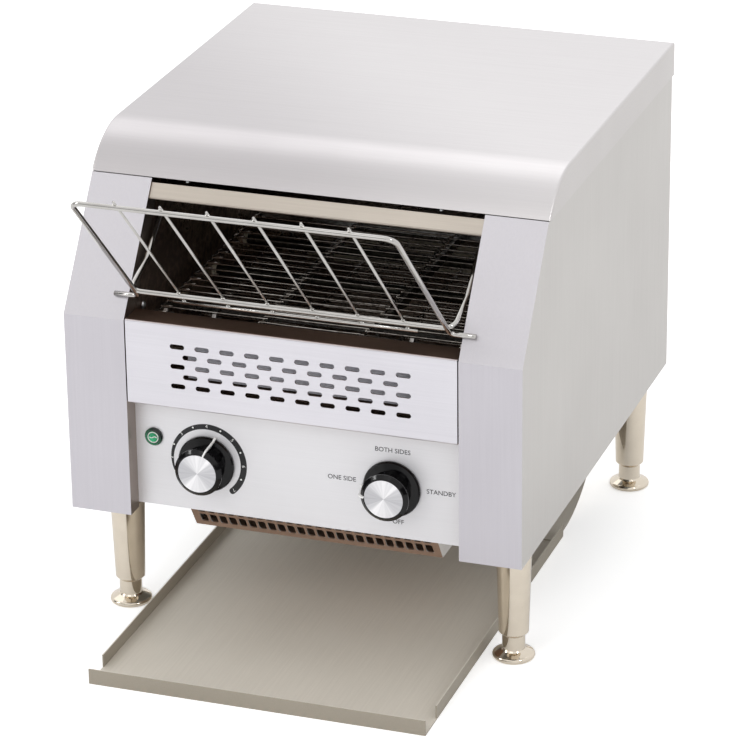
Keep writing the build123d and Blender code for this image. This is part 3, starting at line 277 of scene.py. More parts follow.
def shaded_inside(material, code):
    """Multiplies a sheet's colour by a code on the faces that look at the middle plane x = 0.

    There x times the normal's x is negative, by the 0.13 m that the columns' inner faces stand out.
    """
    tree = material.node_tree
    facing = add(tree, "SeparateXYZ", {0: add(tree, "NewGeometry").outputs["Normal"]})
    place = add(tree, "SeparateXYZ", {0: add(tree, "TexCoord").outputs["Object"]})
    outward = add(
        tree, "Math", {0: facing.outputs["X"], 1: place.outputs["X"]}, operation="MULTIPLY"
    )
    inside = add(tree, "Math", {0: outward.outputs[0], 1: -0.08}, operation="LESS_THAN")
    film_over(material, inside.outputs[0], "#FFFFFF", code)


def dulled_by_hands(material, code):
    """Multiplies a sheet's colour by a code at its front left as painted shade, fading to its rear
    right.

    The painted shade follows x + y, from -0.15 m where it is full to 0.15 m where it is gone.
    """
    tree = material.node_tree
    place = add(tree, "SeparateXYZ", {0: add(tree, "TexCoord").outputs["Object"]})
    reach = add(tree, "Math", {0: place.outputs["X"], 1: place.outputs["Y"]}, operation="ADD")
    unshaded_share = add(
        tree, "MapRange", {"Value": reach.outputs[0], "From Min": -0.15, "From Max": 0.15},
        interpolation_type="SMOOTHSTEP",
    )
    film_over(material, unshaded_share.outputs[0], code, "#FFFFFF")


# Painted shade: the sides' faces that don't look forward are a little warmer and darker than the
# columns' fronts, and the columns' inner faces are browner.
dulled_off(side_sheet, "Y", "#FAFAEF")
shaded_inside(side_sheet, "#C6BAB2")
# Painted shade: the cover is darker towards its front left, and on its faces that don't look up.
dulled_by_hands(cover_sheet, "#E7E6E7")
dulled_off(cover_sheet, "Z", "#EBEAE7")
dress(side_sheet, "side_panel_left", "side_panel_right", "back_panel")
dress(cover_sheet, "top_cover")


def zinc_plated(name, light, dark):
    """Bright zinc plating: faint cloudy crystals about 4 mm across."""
    material, tree, place = new_finish(name)
    cloud = add(tree, "TexNoise", {"Vector": place, "Scale": 250.0, "Detail": 2.0})
    tone = add(
        tree, "Mix", {0: cloud.outputs["Fac"], 6: paint(dark), 7: paint(light)}, data_type="RGBA"
    )
    rough = add(tree, "MapRange", {"Value": cloud.outputs["Fac"], "To Min": 0.3, "To Max": 0.45})
    surface = add(
        tree, "BsdfPrincipled",
        {"Base Color": tone.outputs[2], "Metallic": 1.0, "Roughness": rough.outputs[0]},
    )
    add(tree, "OutputMaterial", {"Surface": surface.outputs[0]})
    return material


screw_zinc = zinc_plated("bright_zinc_screws", "#C9CBCC", "#9DA0A3")
dress(screw_zinc, "back_panel_screws", "cover_screws", "leg_nuts")

# ---- Floor plate, vent trough and fan ------------------------------------------------------------
# The floor is galvanised sheet. A perforated trough hangs under it and feeds the cooling fan, a
# moulded black frame with a seven-blade rotor.

floor_sheet = zinc_plated("galvanised_floor_sheet", "#B9BBBC", "#94979A")
dress(floor_sheet, "base_plate")
trough_sheet = brushed("tinted_stainless_trough", "#E4DFDA", "#D6D1CC", "x", 0.4, metal=0.3)
dulled_off(trough_sheet, "X", "#B79A88")
dress(trough_sheet, "vent_trough")


def moulded(name, light, dark, roughness, gloss=0.5):
    """Moulded plastic: an even skin with a faint 0.8 mm spark-eroded texture."""
    material, tree, place = new_finish(name)
    skin = add(tree, "TexNoise", {"Vector": place, "Scale": 1250.0, "Detail": 2.0})
    cloud = add(tree, "TexNoise", {"Vector": place, "Scale": 40.0, "Detail": 3.0})
    tone = add(
        tree, "Mix", {0: cloud.outputs["Fac"], 6: paint(dark), 7: paint(light)}, data_type="RGBA"
    )
    rough = add(
        tree, "MapRange",
        {"Value": cloud.outputs["Fac"], "To Min": roughness - 0.05, "To Max": roughness + 0.05},
    )
    relieved = add(
        tree, "Bump", {"Height": skin.outputs["Fac"], "Strength": 0.08, "Distance": 0.0002}
    )
    surface = add(
        tree, "BsdfPrincipled",
        {
            "Base Color": tone.outputs[2], "Roughness": rough.outputs[0],
            "Normal": relieved.outputs[0], "Specular IOR Level": gloss,
        },
    )
    add(tree, "OutputMaterial", {"Surface": surface.outputs[0]})
    return material


black_moulding = moulded("black_glass_filled_nylon", "#232326", "#17171A", 0.45)
dress(black_moulding, "fan_frame", "fan_rotor", "cable_gland", "gland_nut")

# ---- Oven lining: inner walls, hood, reflector, crumb pan ----------------------------------------
# Plain stainless sheet round the heating space. Heat has turned it straw to brown in clouds,
# and toasting has left a dull film.


def heat_tinted(name, straw, brown, roughness):
    """Stainless sheet tinted by heat: brown clouds about 60 mm wide over a straw ground."""
    material, tree, place = new_finish(name)
    clouds = add(tree, "TexNoise", {"Vector": place, "Scale": 16.0, "Detail": 5.0})
    spots = add(tree, "TexNoise", {"Vector": place, "Scale": 220.0, "Detail": 2.0})
    mixed = add(
        tree, "Math", {0: clouds.outputs["Fac"], 1: spots.outputs["Fac"]}, operation="MULTIPLY"
    )
    share = add(tree, "MapRange", {"Value": mixed.outputs[0], "From Min": 0.15, "From Max": 0.38})
    tone = add(
        tree, "Mix", {0: share.outputs[0], 6: paint(brown), 7: paint(straw)}, data_type="RGBA"
    )
    rough = add(
        tree, "MapRange",
        {"Value": share.outputs[0], "To Min": roughness + 0.12, "To Max": roughness - 0.05},
    )
    surface = add(
        tree, "BsdfPrincipled",
        {"Base Color": tone.outputs[2], "Metallic": 1.0, "Roughness": rough.outputs[0]},
    )
    add(tree, "OutputMaterial", {"Surface": surface.outputs[0]})
    return material


lining = heat_tinted("heat_tinted_stainless", "#B29C8A", "#75635A", 0.32)
dress(lining, "inner_wall_left", "inner_wall_right", "upper_reflector", "crumb_pan")
deflector_sheet = brushed(
    "straw_tinted_stainless", "#C3BAAF", "#B5ACA1", "x", 0.36, relief=0.02, metal=0.7
)
dress(deflector_sheet, "hood_deflector")
baffle_sheet = brushed("plain_stainless_baffle", "#D6D6DD", "#CACAD1", "x", 0.45, metal=0.25)
dress(baffle_sheet, "vent_baffle")

# ---- Heating elements ----------------------------------------------------------------------------
# Sheathed tubes of nickel alloy, dull grey-green from use, ending in cream steatite insulators.
# One bank hangs over the toast and the other lies under it, inside the belt's loop.

sheath = heat_tinted("oxidised_nickel_alloy_sheath", "#5B5A52", "#35332F", 0.5)
dress(sheath, "heating_elements_upper", "heating_elements_lower")
steatite = moulded("steatite_ceramic", "#E4DCCB", "#D2C8B4", 0.4)
dress(steatite, "element_insulators")

# ---- Conveyor belt -------------------------------------------------------------------------------
# Flat-flex belt of 1.6 mm stainless wire, one wire per 12 mm pitch. Each wire hooks round the next
# at both edges and at two cranks, so the middle lane lies 3.8 mm behind the two outer ones.
# It runs from the drive shaft at the front over the rear shaft and back below.

pitch, wire_radius = 0.012, 0.0008
span_wires, turn_wires = 24, 5
wires = 2 * (span_wires + turn_wires)
belt_low, belt_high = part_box("conveyor_belt")
half_width = belt_high.x - wire_radius
reach_radius = (belt_high.z - belt_low.z) / 2 - wire_radius
axle_z = (belt_low.z + belt_high.z) / 2
drive_y = (belt_low.y + belt_high.y) / 2 - span_wires * pitch / 2
crank = 0.324 * half_width       # half of the middle lane's width


def ringed(rings):
    """Points and faces of closed skins over rings of points, an array (skins, rings, sides, 3)."""
    skins, steps, sides = rings.shape[:3]
    number = np.arange(skins * steps * sides).reshape(skins, steps, sides)
    turned = np.roll(number, -1, axis=2)
    walls = np.stack((number[:, :-1], turned[:, :-1], turned[:, 1:], number[:, 1:]), axis=-1)
    ends = np.concatenate((number[:, 0, ::-1], number[:, -1]))
    return rings.reshape(-1, 3), walls.reshape(-1, 4).tolist() + ends.tolist()


def round_wire(paths, up, radius, sides=6):
    """Points and faces of round wires along many paths at once, with closed ends.

    paths and up are arrays (wires, points, 3). At each point a ring of sides points stands square
    to the path: path + radius * (cos(a) * up' + sin(a) * side), where side is path direction x up.
    """
    ahead = np.gradient(paths, axis=1)
    ahead /= np.linalg.norm(ahead, axis=2, keepdims=True)
    side = np.cross(ahead, up)
    side /= np.linalg.norm(side, axis=2, keepdims=True)
    upward = np.cross(side, ahead)
    angle = np.linspace(0, 2 * np.pi, sides, endpoint=False)
    ring = np.cos(angle)[:, None] * upward[:, :, None] + np.sin(angle)[:, None] * side[:, :, None]
    return ringed(paths[:, :, None] + radius * ring)


def piece(name, points, faces, material, body, smooth=True):
    """One piece at the origin from points in metres and faces, dressed, and riding on a body."""
    mesh = bpy.data.meshes.new(name)
    mesh.from_pydata(np.asarray(points).tolist(), [], faces)
    mesh.update()
    mesh.polygons.foreach_set("use_smooth", [smooth] * len(mesh.polygons))
    mesh.materials.append(material)
    made = set_down(name, mesh)
    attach(made, body)
    return made


def round_belt(x, turn, rise):
    """Places, and outward directions there, of points given by width, turn and rise.

    The turn counts pitches round the loop: straight for 24, half round the rear shaft in 5,
    straight back for 24, half round the drive shaft in 5. The rise is off the wires' middle line.
    """
    turn = np.mod(turn, wires)
    run = np.clip(turn, 0, span_wires)
    back = np.clip(turn - span_wires - turn_wires, 0, span_wires)
    rear = np.clip((turn - span_wires) / turn_wires, 0, 1) * np.pi
    front = np.clip((turn - 2 * span_wires - turn_wires) / turn_wires, 0, 1) * np.pi
    angle = rear + front
    out = np.stack((np.zeros_like(angle), np.sin(angle), np.cos(angle)), axis=-1)
    centre = np.stack(
        (x, drive_y + pitch * (run - back), np.full_like(angle, axle_z)), axis=-1
    )
    return centre + out * (reach_radius + rise)[..., None], out


# One wire from its middle to the right-hand hook, in mm: width, run and rise. The widths count
# from the middle in the first two rows, from the crank in the next ten, then from the edge.
half_path = np.array(
    [
        (0, 15.8, 0.2), (20, 15.8, 0.2), (-3.4, 15.8, 0.5), (0.8, 15.8, 0.4), (1.8, 15.1, 0.1),
        (1.9, 13.8, -0.4), (1.0, 11.9, -0.9), (0.1, 8.0, -0.8), (-1.0, 4.0, -0.6),
        (-1.8, 1.6, -0.1), (-1.4, 0.4, 0.0), (0.2, 0.0, 0.0),
        (-20, 0.0, 0.0), (-1.6, 0.0, 0.0), (-0.4, 0.3, 0.0), (0.0, 1.3, -0.1),
        (-0.2, 5.0, -0.5), (-0.7, 9.0, -0.9), (-1.0, 12.0, -0.9), (-1.8, 13.4, -0.5),
        (-3.2, 13.8, 0.0), (-6.0, 13.8, 0.3), (-9.5, 13.7, 0.3),
    ]
)
half_path[:, 0] += 1000 * np.array([0] * 2 + [crank] * 10 + [half_width] * 11)
whole_path = np.concatenate((half_path[:0:-1] * (-1, 1, 1), half_path)) / 1000
across = np.broadcast_to(whole_path[:, 0], (wires, len(whole_path)))
turns = np.arange(wires)[:, None] + whole_path[:, 1] / pitch
rises = np.broadcast_to(whole_path[:, 2], across.shape)
wire_paths, outward = round_belt(across, turns, rises)
points, faces = round_wire(wire_paths, outward, wire_radius)
belt_wire = heat_tinted("heat_darkened_stainless_wire", "#C6C1BB", "#7D766F", 0.2)
flat_flex_belt = piece("flat_flex_belt", points, faces, belt_wire, "housing")
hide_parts("conveyor_belt")

# ---- Shafts, sprockets, chain and motor ----------------------------------------------------------
# Turned steel shafts run in sintered bronze bushes. A roller chain on the right drives the front
# shaft from a small geared motor.

turned_steel = heat_tinted("turned_carbon_steel", "#A8A6A3", "#7F7B78", 0.3)
dress(
    turned_steel, "drive_shaft", "idler_shaft", "drive_sprockets", "idler_sprockets", "belt_rails",
    "shaft_chain_sprocket", "motor_sprocket", "motor_shaft", "drive_chain", "speed_spindle",
    "mode_spindle",
)
bronze = heat_tinted("oil_bronze", "#A9804D", "#7C5A33", 0.35)
dress(bronze, "shaft_bushes")
motor_enamel = moulded("grey_motor_enamel", "#6F7478", "#5C6165", 0.4)
dress(motor_enamel, "gear_motor")

# ---- Chute and toast tray ------------------------------------------------------------------------
# Toast drops behind the belt, slides down the curved chute and out on a lift-off tray of satin
# stainless sheet. Its upright walls are darker than its floor: painted shade.

tray_sheet = brushed(
    "satin_stainless_tray", "#E8E1D4", "#DED7CA", "y", 0.5, grain=1.4, length=60, metal=0.05
)
# Painted shade: the faces of the tray and chute that don't look up are darker.
dulled_off(tray_sheet, "Z", "#B9B5AF")
dress(tray_sheet, "toast_tray", "toast_chute")

# ---- Front panels --------------------------------------------------------------------------------
# A louvred vent panel over the control panel, both finely brushed across and set between the
# columns.

panel_sheet = brushed(
    "fine_brushed_stainless_panel", "#EBEAED", "#E7E6E9", "x", 0.42,
    spread=0.04, grain=1.2, length=80, relief=0.02, metal=0.4,
)
dress(panel_sheet, "control_panel")
vent_sheet = brushed("brushed_stainless_vent_panel", "#E2E0E6", "#DAD8DE", "x", 0.36)
# Painted reflection and shade: the vent panel's faces that don't look forward, such as its top
# flange, are tinted brown.
dulled_off(vent_sheet, "Y", "#C0A18A")
dress(vent_sheet, "vent_panel")

# ---- Knobs, dial and switch legends --------------------------------------------------------------
# Black phenolic knobs with a spun aluminium disc let into the face, pressed on their spindles.
# The scale and the words are screen printed on the panel.

phenolic = moulded("gloss_black_phenolic", "#0B0A0C", "#060507", 0.1, 0.3)
dress(phenolic, "speed_knob", "mode_knob")
dress(black_moulding, "speed_potentiometer", "mode_switch")

face_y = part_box("control_panel")[0].y
speed_low, speed_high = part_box("speed_knob")
mode_low, mode_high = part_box("mode_knob")
speed_x, mode_x = (speed_low.x + speed_high.x) / 2, (mode_low.x + mode_high.x) / 2
knob_z = (speed_low.z + speed_high.z) / 2


def spun_aluminium(name, x):
    """Spun aluminium disc about the axis at x: turning rings, and painted highlights in opposite
    pairs of cones.

    With a the angle round the axis from the top, the painted highlights in the tone follow cos 2a,
    a narrow pair of rays cos(2a - 76 degrees) to the power 16, and streaks of noise that depend on
    the angle alone.
    """
    material, tree, place = new_finish(name)
    centred = add(tree, "Mapping", {"Vector": place, "Location": (-x, 0, -knob_z)})
    flat = add(
        tree, "VectorMath", {0: centred.outputs[0], 1: (1.0, 0.0, 1.0)}, operation="MULTIPLY"
    )
    apart = add(tree, "SeparateXYZ", {0: flat.outputs[0]})
    angle = add(
        tree, "Math", {0: apart.outputs["X"], 1: apart.outputs["Z"]}, operation="ARCTAN2"
    )
    twice = add(tree, "Math", {0: angle.outputs[0], 1: 2.0}, operation="MULTIPLY")
    # Painted highlights: bright and dark cones in opposite pairs, and a narrow pair of bright rays.
    cones = add(tree, "Math", {0: twice.outputs[0]}, operation="COSINE")
    turned = add(tree, "Math", {0: twice.outputs[0], 1: radians(76)}, operation="SUBTRACT")
    ray = add(tree, "Math", {0: turned.outputs[0]}, operation="COSINE")
    ray = add(tree, "Math", {0: ray.outputs[0], 1: 0.0}, operation="MAXIMUM")
    ray = add(tree, "Math", {0: ray.outputs[0], 1: 16.0}, operation="POWER")
    way = add(tree, "VectorMath", {0: flat.outputs[0]}, operation="NORMALIZE")
    streaks = add(tree, "TexNoise", {"Vector": way.outputs[0], "Scale": 3.5, "Detail": 3.0})
    tone = add(
        tree, "Math", {0: cones.outputs[0], 1: 0.28, 2: streaks.outputs["Fac"]},
        operation="MULTIPLY_ADD",
    )
    tone = add(
        tree, "Math", {0: ray.outputs[0], 1: 0.4, 2: tone.outputs[0]}, operation="MULTIPLY_ADD"
    )
    share = add(tree, "MapRange", {"Value": tone.outputs[0], "From Min": 0.15, "From Max": 0.95})
    colour = add(
        tree, "Mix", {0: share.outputs[0], 6: paint("#BDBDC1"), 7: paint("#FBFAFC")},
        data_type="RGBA",
    )
    out = add(tree, "VectorMath", {0: flat.outputs[0]}, operation="LENGTH")
    rings = add(
        tree, "TexNoise", {"W": out.outputs["Value"], "Scale": 2500.0}, noise_dimensions="1D"
    )
    relieved = add(
        tree, "Bump", {"Height": rings.outputs["Fac"], "Strength": 0.15, "Distance": 0.0002}
    )
    surface = add(
        tree, "BsdfPrincipled",
        {
            "Base Color": colour.outputs[2], "Metallic": 0.6, "Roughness": 0.32,
            "Normal": relieved.outputs[0],
        },
    )
    add(tree, "OutputMaterial", {"Surface": surface.outputs[0]})
    return material


dress(spun_aluminium("spun_aluminium_speed", speed_x), "speed_knob_cap")
dress(spun_aluminium("spun_aluminium_mode", mode_x), "mode_knob_cap")


def print_ink(name, light, dark):
    """Screen ink: an even matt film with a slight 2 mm mottle."""
    material, tree, place = new_finish(name)
    mottle = add(tree, "TexNoise", {"Vector": place, "Scale": 500.0, "Detail": 2.0})
    tone = add(
        tree, "Mix", {0: mottle.outputs["Fac"], 6: paint(dark), 7: paint(light)}, data_type="RGBA"
    )
    surface = add(tree, "BsdfPrincipled", {"Base Color": tone.outputs[2], "Roughness": 0.5})
    add(tree, "OutputMaterial", {"Surface": surface.outputs[0]})
    return material


black_ink = print_ink("black_screen_ink", "#1C1C1F", "#141417")
white_ink = print_ink("white_screen_ink", "#F5F5F3", "#E9E9E7")


def plate(rim, thickness):
    """Flat shape with a rim of (x, z) points, counter-clockwise seen from the front.

    Its back lies in the panel's face and its front stands thickness before it.
    """
    layers = [
        np.stack((rim[:, 0], np.full(len(rim), face_y - depth), rim[:, 1]), axis=1)
        for depth in (0.0, thickness)
    ]
    return ringed(np.array([layers]))


def joined(shapes):
    """Points and faces of several shapes as one."""
    points, faces, start = [], [], 0
    for shape_points, shape_faces in shapes:
        points.append(shape_points)
        faces += [[start + corner for corner in face] for face in shape_faces]
        start += len(shape_points)
    return np.concatenate(points), faces


# The scale is printed round a centre slightly right of and over the knob's axis.
dial_x, dial_z = speed_x + 0.0006, knob_z + 0.0013
mark_radius, digit_height, legend_height = 0.0296, 0.0039, 0.0053


def on_dial(angle, radius):
    """(x, z) of points on the speed scale, with the angle in degrees clockwise from the top."""
    turn = np.radians(angle)
    return np.stack((dial_x + radius * np.sin(turn), dial_z + radius * np.cos(turn)), axis=-1)


# Speed scale: a band that widens from 0.8 mm to 5 mm as it runs clockwise, with a round end. Its
# middle line runs 29.4 mm out, with 0.4 mm more at the right and 0.4 mm less at the left.
sweep = np.linspace(138, -130, 97)
width = np.interp(sweep, (-130, -90, -60, 0, 90), (0.0008, 0.0021, 0.0032, 0.0044, 0.0050))
middle = 0.0294 + 0.0004 * np.sin(np.radians(sweep))
bend = np.radians(np.linspace(-80, 80, 9))
end = middle[0] + width[0] / 2 * np.sin(bend)
beyond = sweep[0] + np.degrees(width[0] / 2 * np.cos(bend) / middle[0])
rim = np.concatenate(
    (
        on_dial(sweep, middle + width / 2),
        on_dial(sweep[::-1], (middle - width / 2)[::-1]),
        on_dial(beyond, end),
    )
)
scale_band = piece("speed_scale_band", *plate(rim, 0.00012), black_ink, "housing", smooth=False)


def disc(centre, radius, thickness):
    """Round slab of 20 sides about an (x, z) centre."""
    turn = np.linspace(0, 2 * np.pi, 20, endpoint=False)
    return plate(centre + radius * np.stack((np.cos(turn), np.sin(turn)), axis=1), thickness)


dots = [disc(on_dial(a, mark_radius), 0.00075, 0.0002) for a in np.arange(-112.5, 113, 45)]
scale_dots = piece("speed_scale_dots", *joined(dots), white_ink, "housing", smooth=False)


def words(name, text, place, height, turn, material, lift):
    """Printed text centred on an (x, z) place: a flat text curve made a mesh and stood upright."""
    curve = bpy.data.curves.new(name, "FONT")
    curve.body, curve.size, curve.extrude = text, height, 0.00004
    curve.align_x, curve.align_y, curve.resolution_u = "CENTER", "CENTER", 4
    loose = set_down(name + "_curve", curve)
    bpy.context.view_layer.update()
    mesh = bpy.data.meshes.new_from_object(
        loose.evaluated_get(bpy.context.evaluated_depsgraph_get())
    )
    bpy.data.objects.remove(loose)
    mesh.transform(
        Matrix.Translation((place[0], face_y - lift, place[1]))
        @ Matrix.Rotation(radians(turn), 4, "Y")
        @ Matrix.Rotation(radians(90), 4, "X")
    )
    mesh.materials.clear()
    mesh.materials.append(material)
    made = set_down(name, mesh)
    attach(made, "housing")
    return made


for number, angle in enumerate(range(-135, 136, 45), 1):
    digit = words(
        f"speed_scale_{number}", str(number), on_dial(angle, mark_radius), digit_height, angle,
        white_ink, lift=0.00018,
    )
for name, text, place in (
    ("legend_left", "ONE SIDE", (mode_x - 0.0405, knob_z + 0.0030)),
    ("legend_top", "BOTH SIDES", (mode_x + 0.0006, knob_z + 0.0312)),
    ("legend_right", "STANDBY", (mode_x + 0.0390, knob_z + 0.0012)),
    ("legend_off", "OFF", (mode_x + 0.0045, knob_z - 0.0275)),
):
    words(name, text, place, legend_height, 0, black_ink, lift=0.00008)


pointer_paint = print_ink("white_pointer_paint", "#FFFFFF", "#F8F8F6")


def pointer(name, x, angle, body):
    """White rib let into a knob from its face over the rim and grip to the edge of the skirt.

    The outer line runs through (radius, depth) stations at the angle from the top; the rib stands
    0.15 mm proud of it, goes 1.9 mm below it, and narrows from 1.6 mm at the skirt to 1 mm.
    """
    back, front = speed_high.y, speed_low.y
    stations = np.array(
        [
            (0.02285, back - 0.0003), (0.02285, back - 0.0012), (0.02205, back - 0.0024),
            (0.0211, back - 0.0030), (0.0200, back - 0.0090), (0.0194, front + 0.0045),
            (0.0191, front + 0.0025), (0.0169, front + 0.0005), (0.0164, front),
            (0.01545, front),
        ]
    )
    way = np.array((np.sin(radians(angle)), 0, np.cos(radians(angle))))
    across = np.array((way[2], 0, -way[0]))
    line = np.array((x, 0, knob_z)) + stations[:, :1] * way + stations[:, 1:] * (0, 1, 0)
    ahead = np.gradient(line, axis=0)
    ahead /= np.linalg.norm(ahead, axis=1, keepdims=True)
    out = np.cross(across, ahead)
    half_width = np.linspace(0.0008, 0.0005, len(stations))[:, None]
    corners = np.stack(
        [
            line + side * half_width * across + lift * out
            for side, lift in ((-1, -0.0019), (1, -0.0019), (1, 0.00015), (-1, 0.00015))
        ],
        axis=1,
    )
    return piece(name, *ringed(corners[None]), pointer_paint, body, smooth=False)


pointer("speed_pointer", speed_x, 19.5, "speed_control")
pointer("mode_pointer", mode_x, -90, "mode_control")

# ---- Indicator lamp ------------------------------------------------------------------------------
# A snap-in mains lamp: dark green bezel, clear green lens with a printed ring and wave.
# Light goes some way into the clear plastic, which is drawn as a slope from deep to bright green.

lens_low, lens_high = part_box("lamp_lens")
lens_x, lens_z = (lens_low.x + lens_high.x) / 2, (lens_low.z + lens_high.z) / 2


def green_lens(name, deep, bright, roughness):
    """Clear green polycarbonate, with painted light: deep green at its upper right, brighter green
    at its lower left where light shows through.
    """
    material, tree, place = new_finish(name)
    centred = add(tree, "Mapping", {"Vector": place, "Location": (-lens_x, 0, -lens_z)})
    slope = add(
        tree, "VectorMath", {0: centred.outputs[0], 1: (-90.0, 0.0, -90.0)},
        operation="DOT_PRODUCT",
    )
    cloud = add(tree, "TexNoise", {"Vector": place, "Scale": 300.0, "Detail": 2.0})
    share = add(
        tree, "Math", {0: slope.outputs["Value"], 1: cloud.outputs["Fac"]}, operation="ADD"
    )
    tone = add(
        tree, "Mix", {0: share.outputs[0], 6: paint(deep), 7: paint(bright)}, data_type="RGBA"
    )
    surface = add(tree, "BsdfPrincipled", {"Base Color": tone.outputs[2], "Roughness": roughness})
    add(tree, "OutputMaterial", {"Surface": surface.outputs[0]})
    return material


# The bezel takes the same painted light, near black at its upper right and green at its lower left.
dress(green_lens("dark_green_bezel", "#06140F", "#1B6E49", 0.2), "lamp_bezel")
dress(green_lens("green_polycarbonate_lens", "#0D7A4C", "#22B57A", 0.12), "lamp_lens")

# The printed ring is 8.4 mm across and the wave 6 mm long, both 0.84 mm wide.
lens_centre = np.array((lens_x, lens_low.y, lens_z))
turn = np.linspace(0, 2 * np.pi, 33)
ring = 0.0042 * np.stack((np.cos(turn), 0 * turn, np.sin(turn)), axis=1)
along = np.linspace(-1, 1, 17)
wave = np.stack((0.0030 * along, 0 * along, 0.0006 * np.sin(np.pi * along)), axis=1)
shapes = [
    round_wire((lens_centre + line)[None], np.broadcast_to((0, -1.0, 0), (1, *line.shape)), 0.00042)
    for line in (ring, wave)
]
lamp_mark = piece("lamp_ring_and_wave", *joined(shapes), white_ink, "housing")

# ---- Loading rack --------------------------------------------------------------------------------
# A basket welded of bright stainless wire that rests in the feed opening and lifts off.
# Thick wires make its frame and arms, and thin ones the slope that the bread slides down.


def polished(name, light, dark, roughness):
    """Polished or bright-drawn metal: mirror bright, with faint clouds about 12 mm across."""
    material, tree, place = new_finish(name)
    cloud = add(tree, "TexNoise", {"Vector": place, "Scale": 80.0, "Detail": 4.0})
    tone = add(
        tree, "Mix", {0: cloud.outputs["Fac"], 6: paint(dark), 7: paint(light)}, data_type="RGBA"
    )
    rough = add(
        tree, "MapRange",
        {"Value": cloud.outputs["Fac"], "To Min": roughness - 0.04, "To Max": roughness + 0.04},
    )
    surface = add(
        tree, "BsdfPrincipled",
        {"Base Color": tone.outputs[2], "Metallic": 1.0, "Roughness": rough.outputs[0]},
    )
    add(tree, "OutputMaterial", {"Surface": surface.outputs[0]})
    return material


def bent(corners, radii, steps=9):
    """Wire line through corners, with each inner corner turned at its radius.

    At a corner p where unit directions u and v turn by an angle t, the arc starts at
    p - r tan(t/2) u, and its point at angle a is start + r sin(a) u + r (1 - cos(a)) n, with n the
    unit vector square to u on the side of v.
    """
    corners = np.asarray(corners, float)
    line = [corners[0]]
    for before, here, after, radius in zip(corners, corners[1:], corners[2:], radii):
        u = (here - before) / np.linalg.norm(here - before)
        v = (after - here) / np.linalg.norm(after - here)
        turn = np.arccos(u @ v)
        n = (v - (u @ v) * u) / np.sin(turn)
        angle = np.linspace(0, turn, steps)[:, None]
        start = here - radius * np.tan(turn / 2) * u
        line.extend(start + radius * (np.sin(angle) * u + (1 - np.cos(angle)) * n))
    line.append(corners[-1])
    return np.array(line)


# The rack's sizes are in mm. Its points are (x, depth behind the columns' upright faces, height).
front_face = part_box("side_panel_left")[0].y
bar_depth, bar_z = 2.6, 290.7
top_depth, top_z = -111.5, 402.8
frame_foot_x, frame_top_x = 124.0, 123.4
arm_x, arm_bend, arm_end = 128.5, (37.5, 303.7), (66.0, 328.4)
thick_radius, thin_radius, cross_radius = 2.0, 1.0, 1.2
thin_spacing, thin_in, cross_in, cross_below = 35.7, 2.9, 0.9, 14.7
leaf_length = np.hypot(bar_depth - top_depth, top_z - bar_z)
down = np.array((0, bar_depth - top_depth, bar_z - top_z)) / leaf_length
inward = np.array((0, -down[2], down[1]))


def on_leaf(x, below, in_by=0.0):
    """Point of the rack's front frame by x, distance down from the lower bar, and inwards."""
    return np.array((x, bar_depth, bar_z)) + below * down + in_by * inward


peg_x, peg_below = 1000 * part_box("loading_rack")[1].x, 10.0
frame_line = bent(
    [
        on_leaf(-peg_x, peg_below), on_leaf(-frame_foot_x, peg_below),
        on_leaf(-frame_top_x, -leaf_length), on_leaf(frame_top_x, -leaf_length),
        on_leaf(frame_foot_x, peg_below), on_leaf(peg_x, peg_below),
    ],
    (5, 9, 9, 5),
)
bar_line = bent(
    [
        (-arm_x, *arm_end), (-arm_x, *arm_bend), (-arm_x, bar_depth, bar_z),
        (arm_x, bar_depth, bar_z), (arm_x, *arm_bend), (arm_x, *arm_end),
    ],
    (14, 9, 9, 14),
)
thin_x = thin_spacing * np.arange(-2.5, 3)
thin_lines = np.array(
    [
        [on_leaf(x, below, thin_in) for below in (-leaf_length - 3.5, 0, cross_below + 1)]
        for x in thin_x
    ]
)
cross_line = np.array([on_leaf(x, cross_below, cross_in) for x in (-97.7, 0, 97.7)])


def in_scene(points):
    """Rack points, in mm with depths, as places in metres."""
    return (np.asarray(points) + (0, 1000 * front_face, 0)) / 1000


def wire(lines, radius, sides=12):
    """Round wires along lines of rack points, ringed square to the frame's inward side."""
    paths = in_scene(lines)
    return round_wire(paths, np.broadcast_to(inward, paths.shape), radius / 1000, sides)


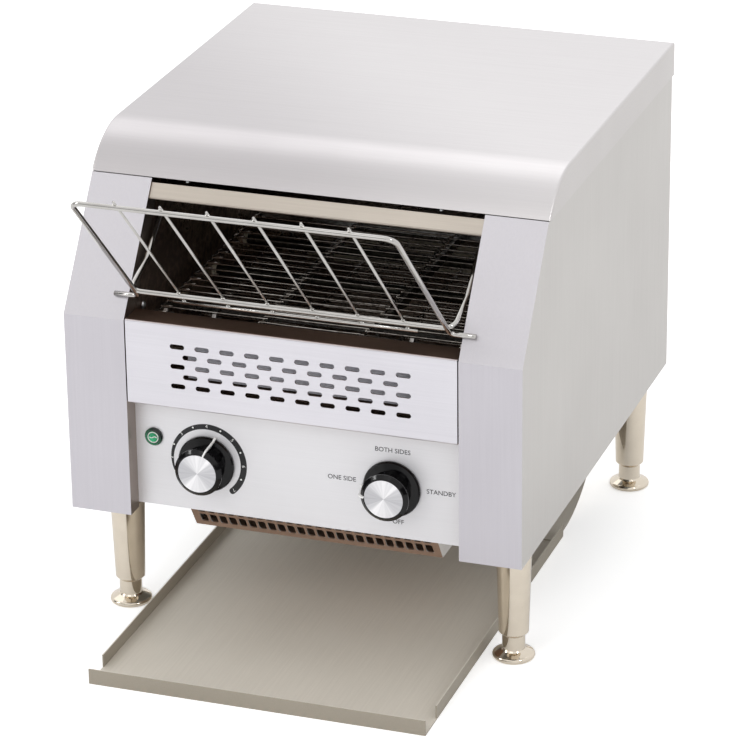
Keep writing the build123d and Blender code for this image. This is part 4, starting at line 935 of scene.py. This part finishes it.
def bead(centre, radii, sides=10):
    """Rounded bead: an ellipsoid, centre + radii * (cos u cos v, sin u cos v, sin v) on a grid."""
    u = np.linspace(0, 2 * np.pi, sides, endpoint=False)
    v = np.linspace(-1.4, 1.4, 7)[:, None]
    grid = np.stack((np.cos(u) * np.cos(v), np.sin(u) * np.cos(v), np.sin(v) + 0 * u), axis=-1)
    return ringed(in_scene(centre + radii * grid)[None])


# A weld bead joins each thin wire to the frame's top, the lower bar and the cross wire.
welds = [
    bead(on_leaf(x, below, 1.9 if below < 10 else 1.8), (2.1, 1.5, 1.5))
    for x in thin_x for below in (-leaf_length, 0.0, cross_below)
]
rack_wires = piece(
    "rack_wires",
    *joined(
        [
            wire(frame_line[None], thick_radius), wire(bar_line[None], thick_radius),
            wire(thin_lines, thin_radius), wire(cross_line[None], cross_radius), *welds,
        ]
    ),
    polished("bright_stainless_wire", "#CFCDCA", "#B3B0AC", 0.12), "rack",
)
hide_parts("loading_rack")

# Two domed bolt heads stand on the inner walls, above the drive shaft's ends.
bolts = [bead((side * 133.4, 39, 264), (1.8, 3.3, 3.3)) for side in (-1, 1)]
wall_bolts = piece("wall_bolts", *joined(bolts), screw_zinc, "housing")

# The ends of two bent tabs show in the gap between the hood and the cover's lip.
tabs = [bead((x, 67.4, 357.6), (1.6, 1.4, 1.1)) for x in (-105, 98.5)]
hood_tabs = piece("hood_tabs", *joined(tabs), screw_zinc, "housing")

# ---- Mains entry ---------------------------------------------------------------------------------
# A terminal block of grey moulding inside, and a nylon gland in the back panel, which is of the
# fan's black moulding.

dress(moulded("grey_thermoset_block", "#8E9092", "#7C7E80", 0.5), "terminal_block")

# ---- Legs and feet -------------------------------------------------------------------------------
# Four tapered legs of chromed tube with turned, screw-adjustable feet. Their polished plating
# mirrors the table and the boards round it.

# The warm beige in the plating's colour is a painted reflection.
leg_chrome = polished("polished_chrome_plate", "#E4DACA", "#D5CABA", 0.09)
for corner in ("front_left", "front_right", "rear_left", "rear_right"):
    dress(leg_chrome, f"leg_{corner}", f"foot_{corner}")
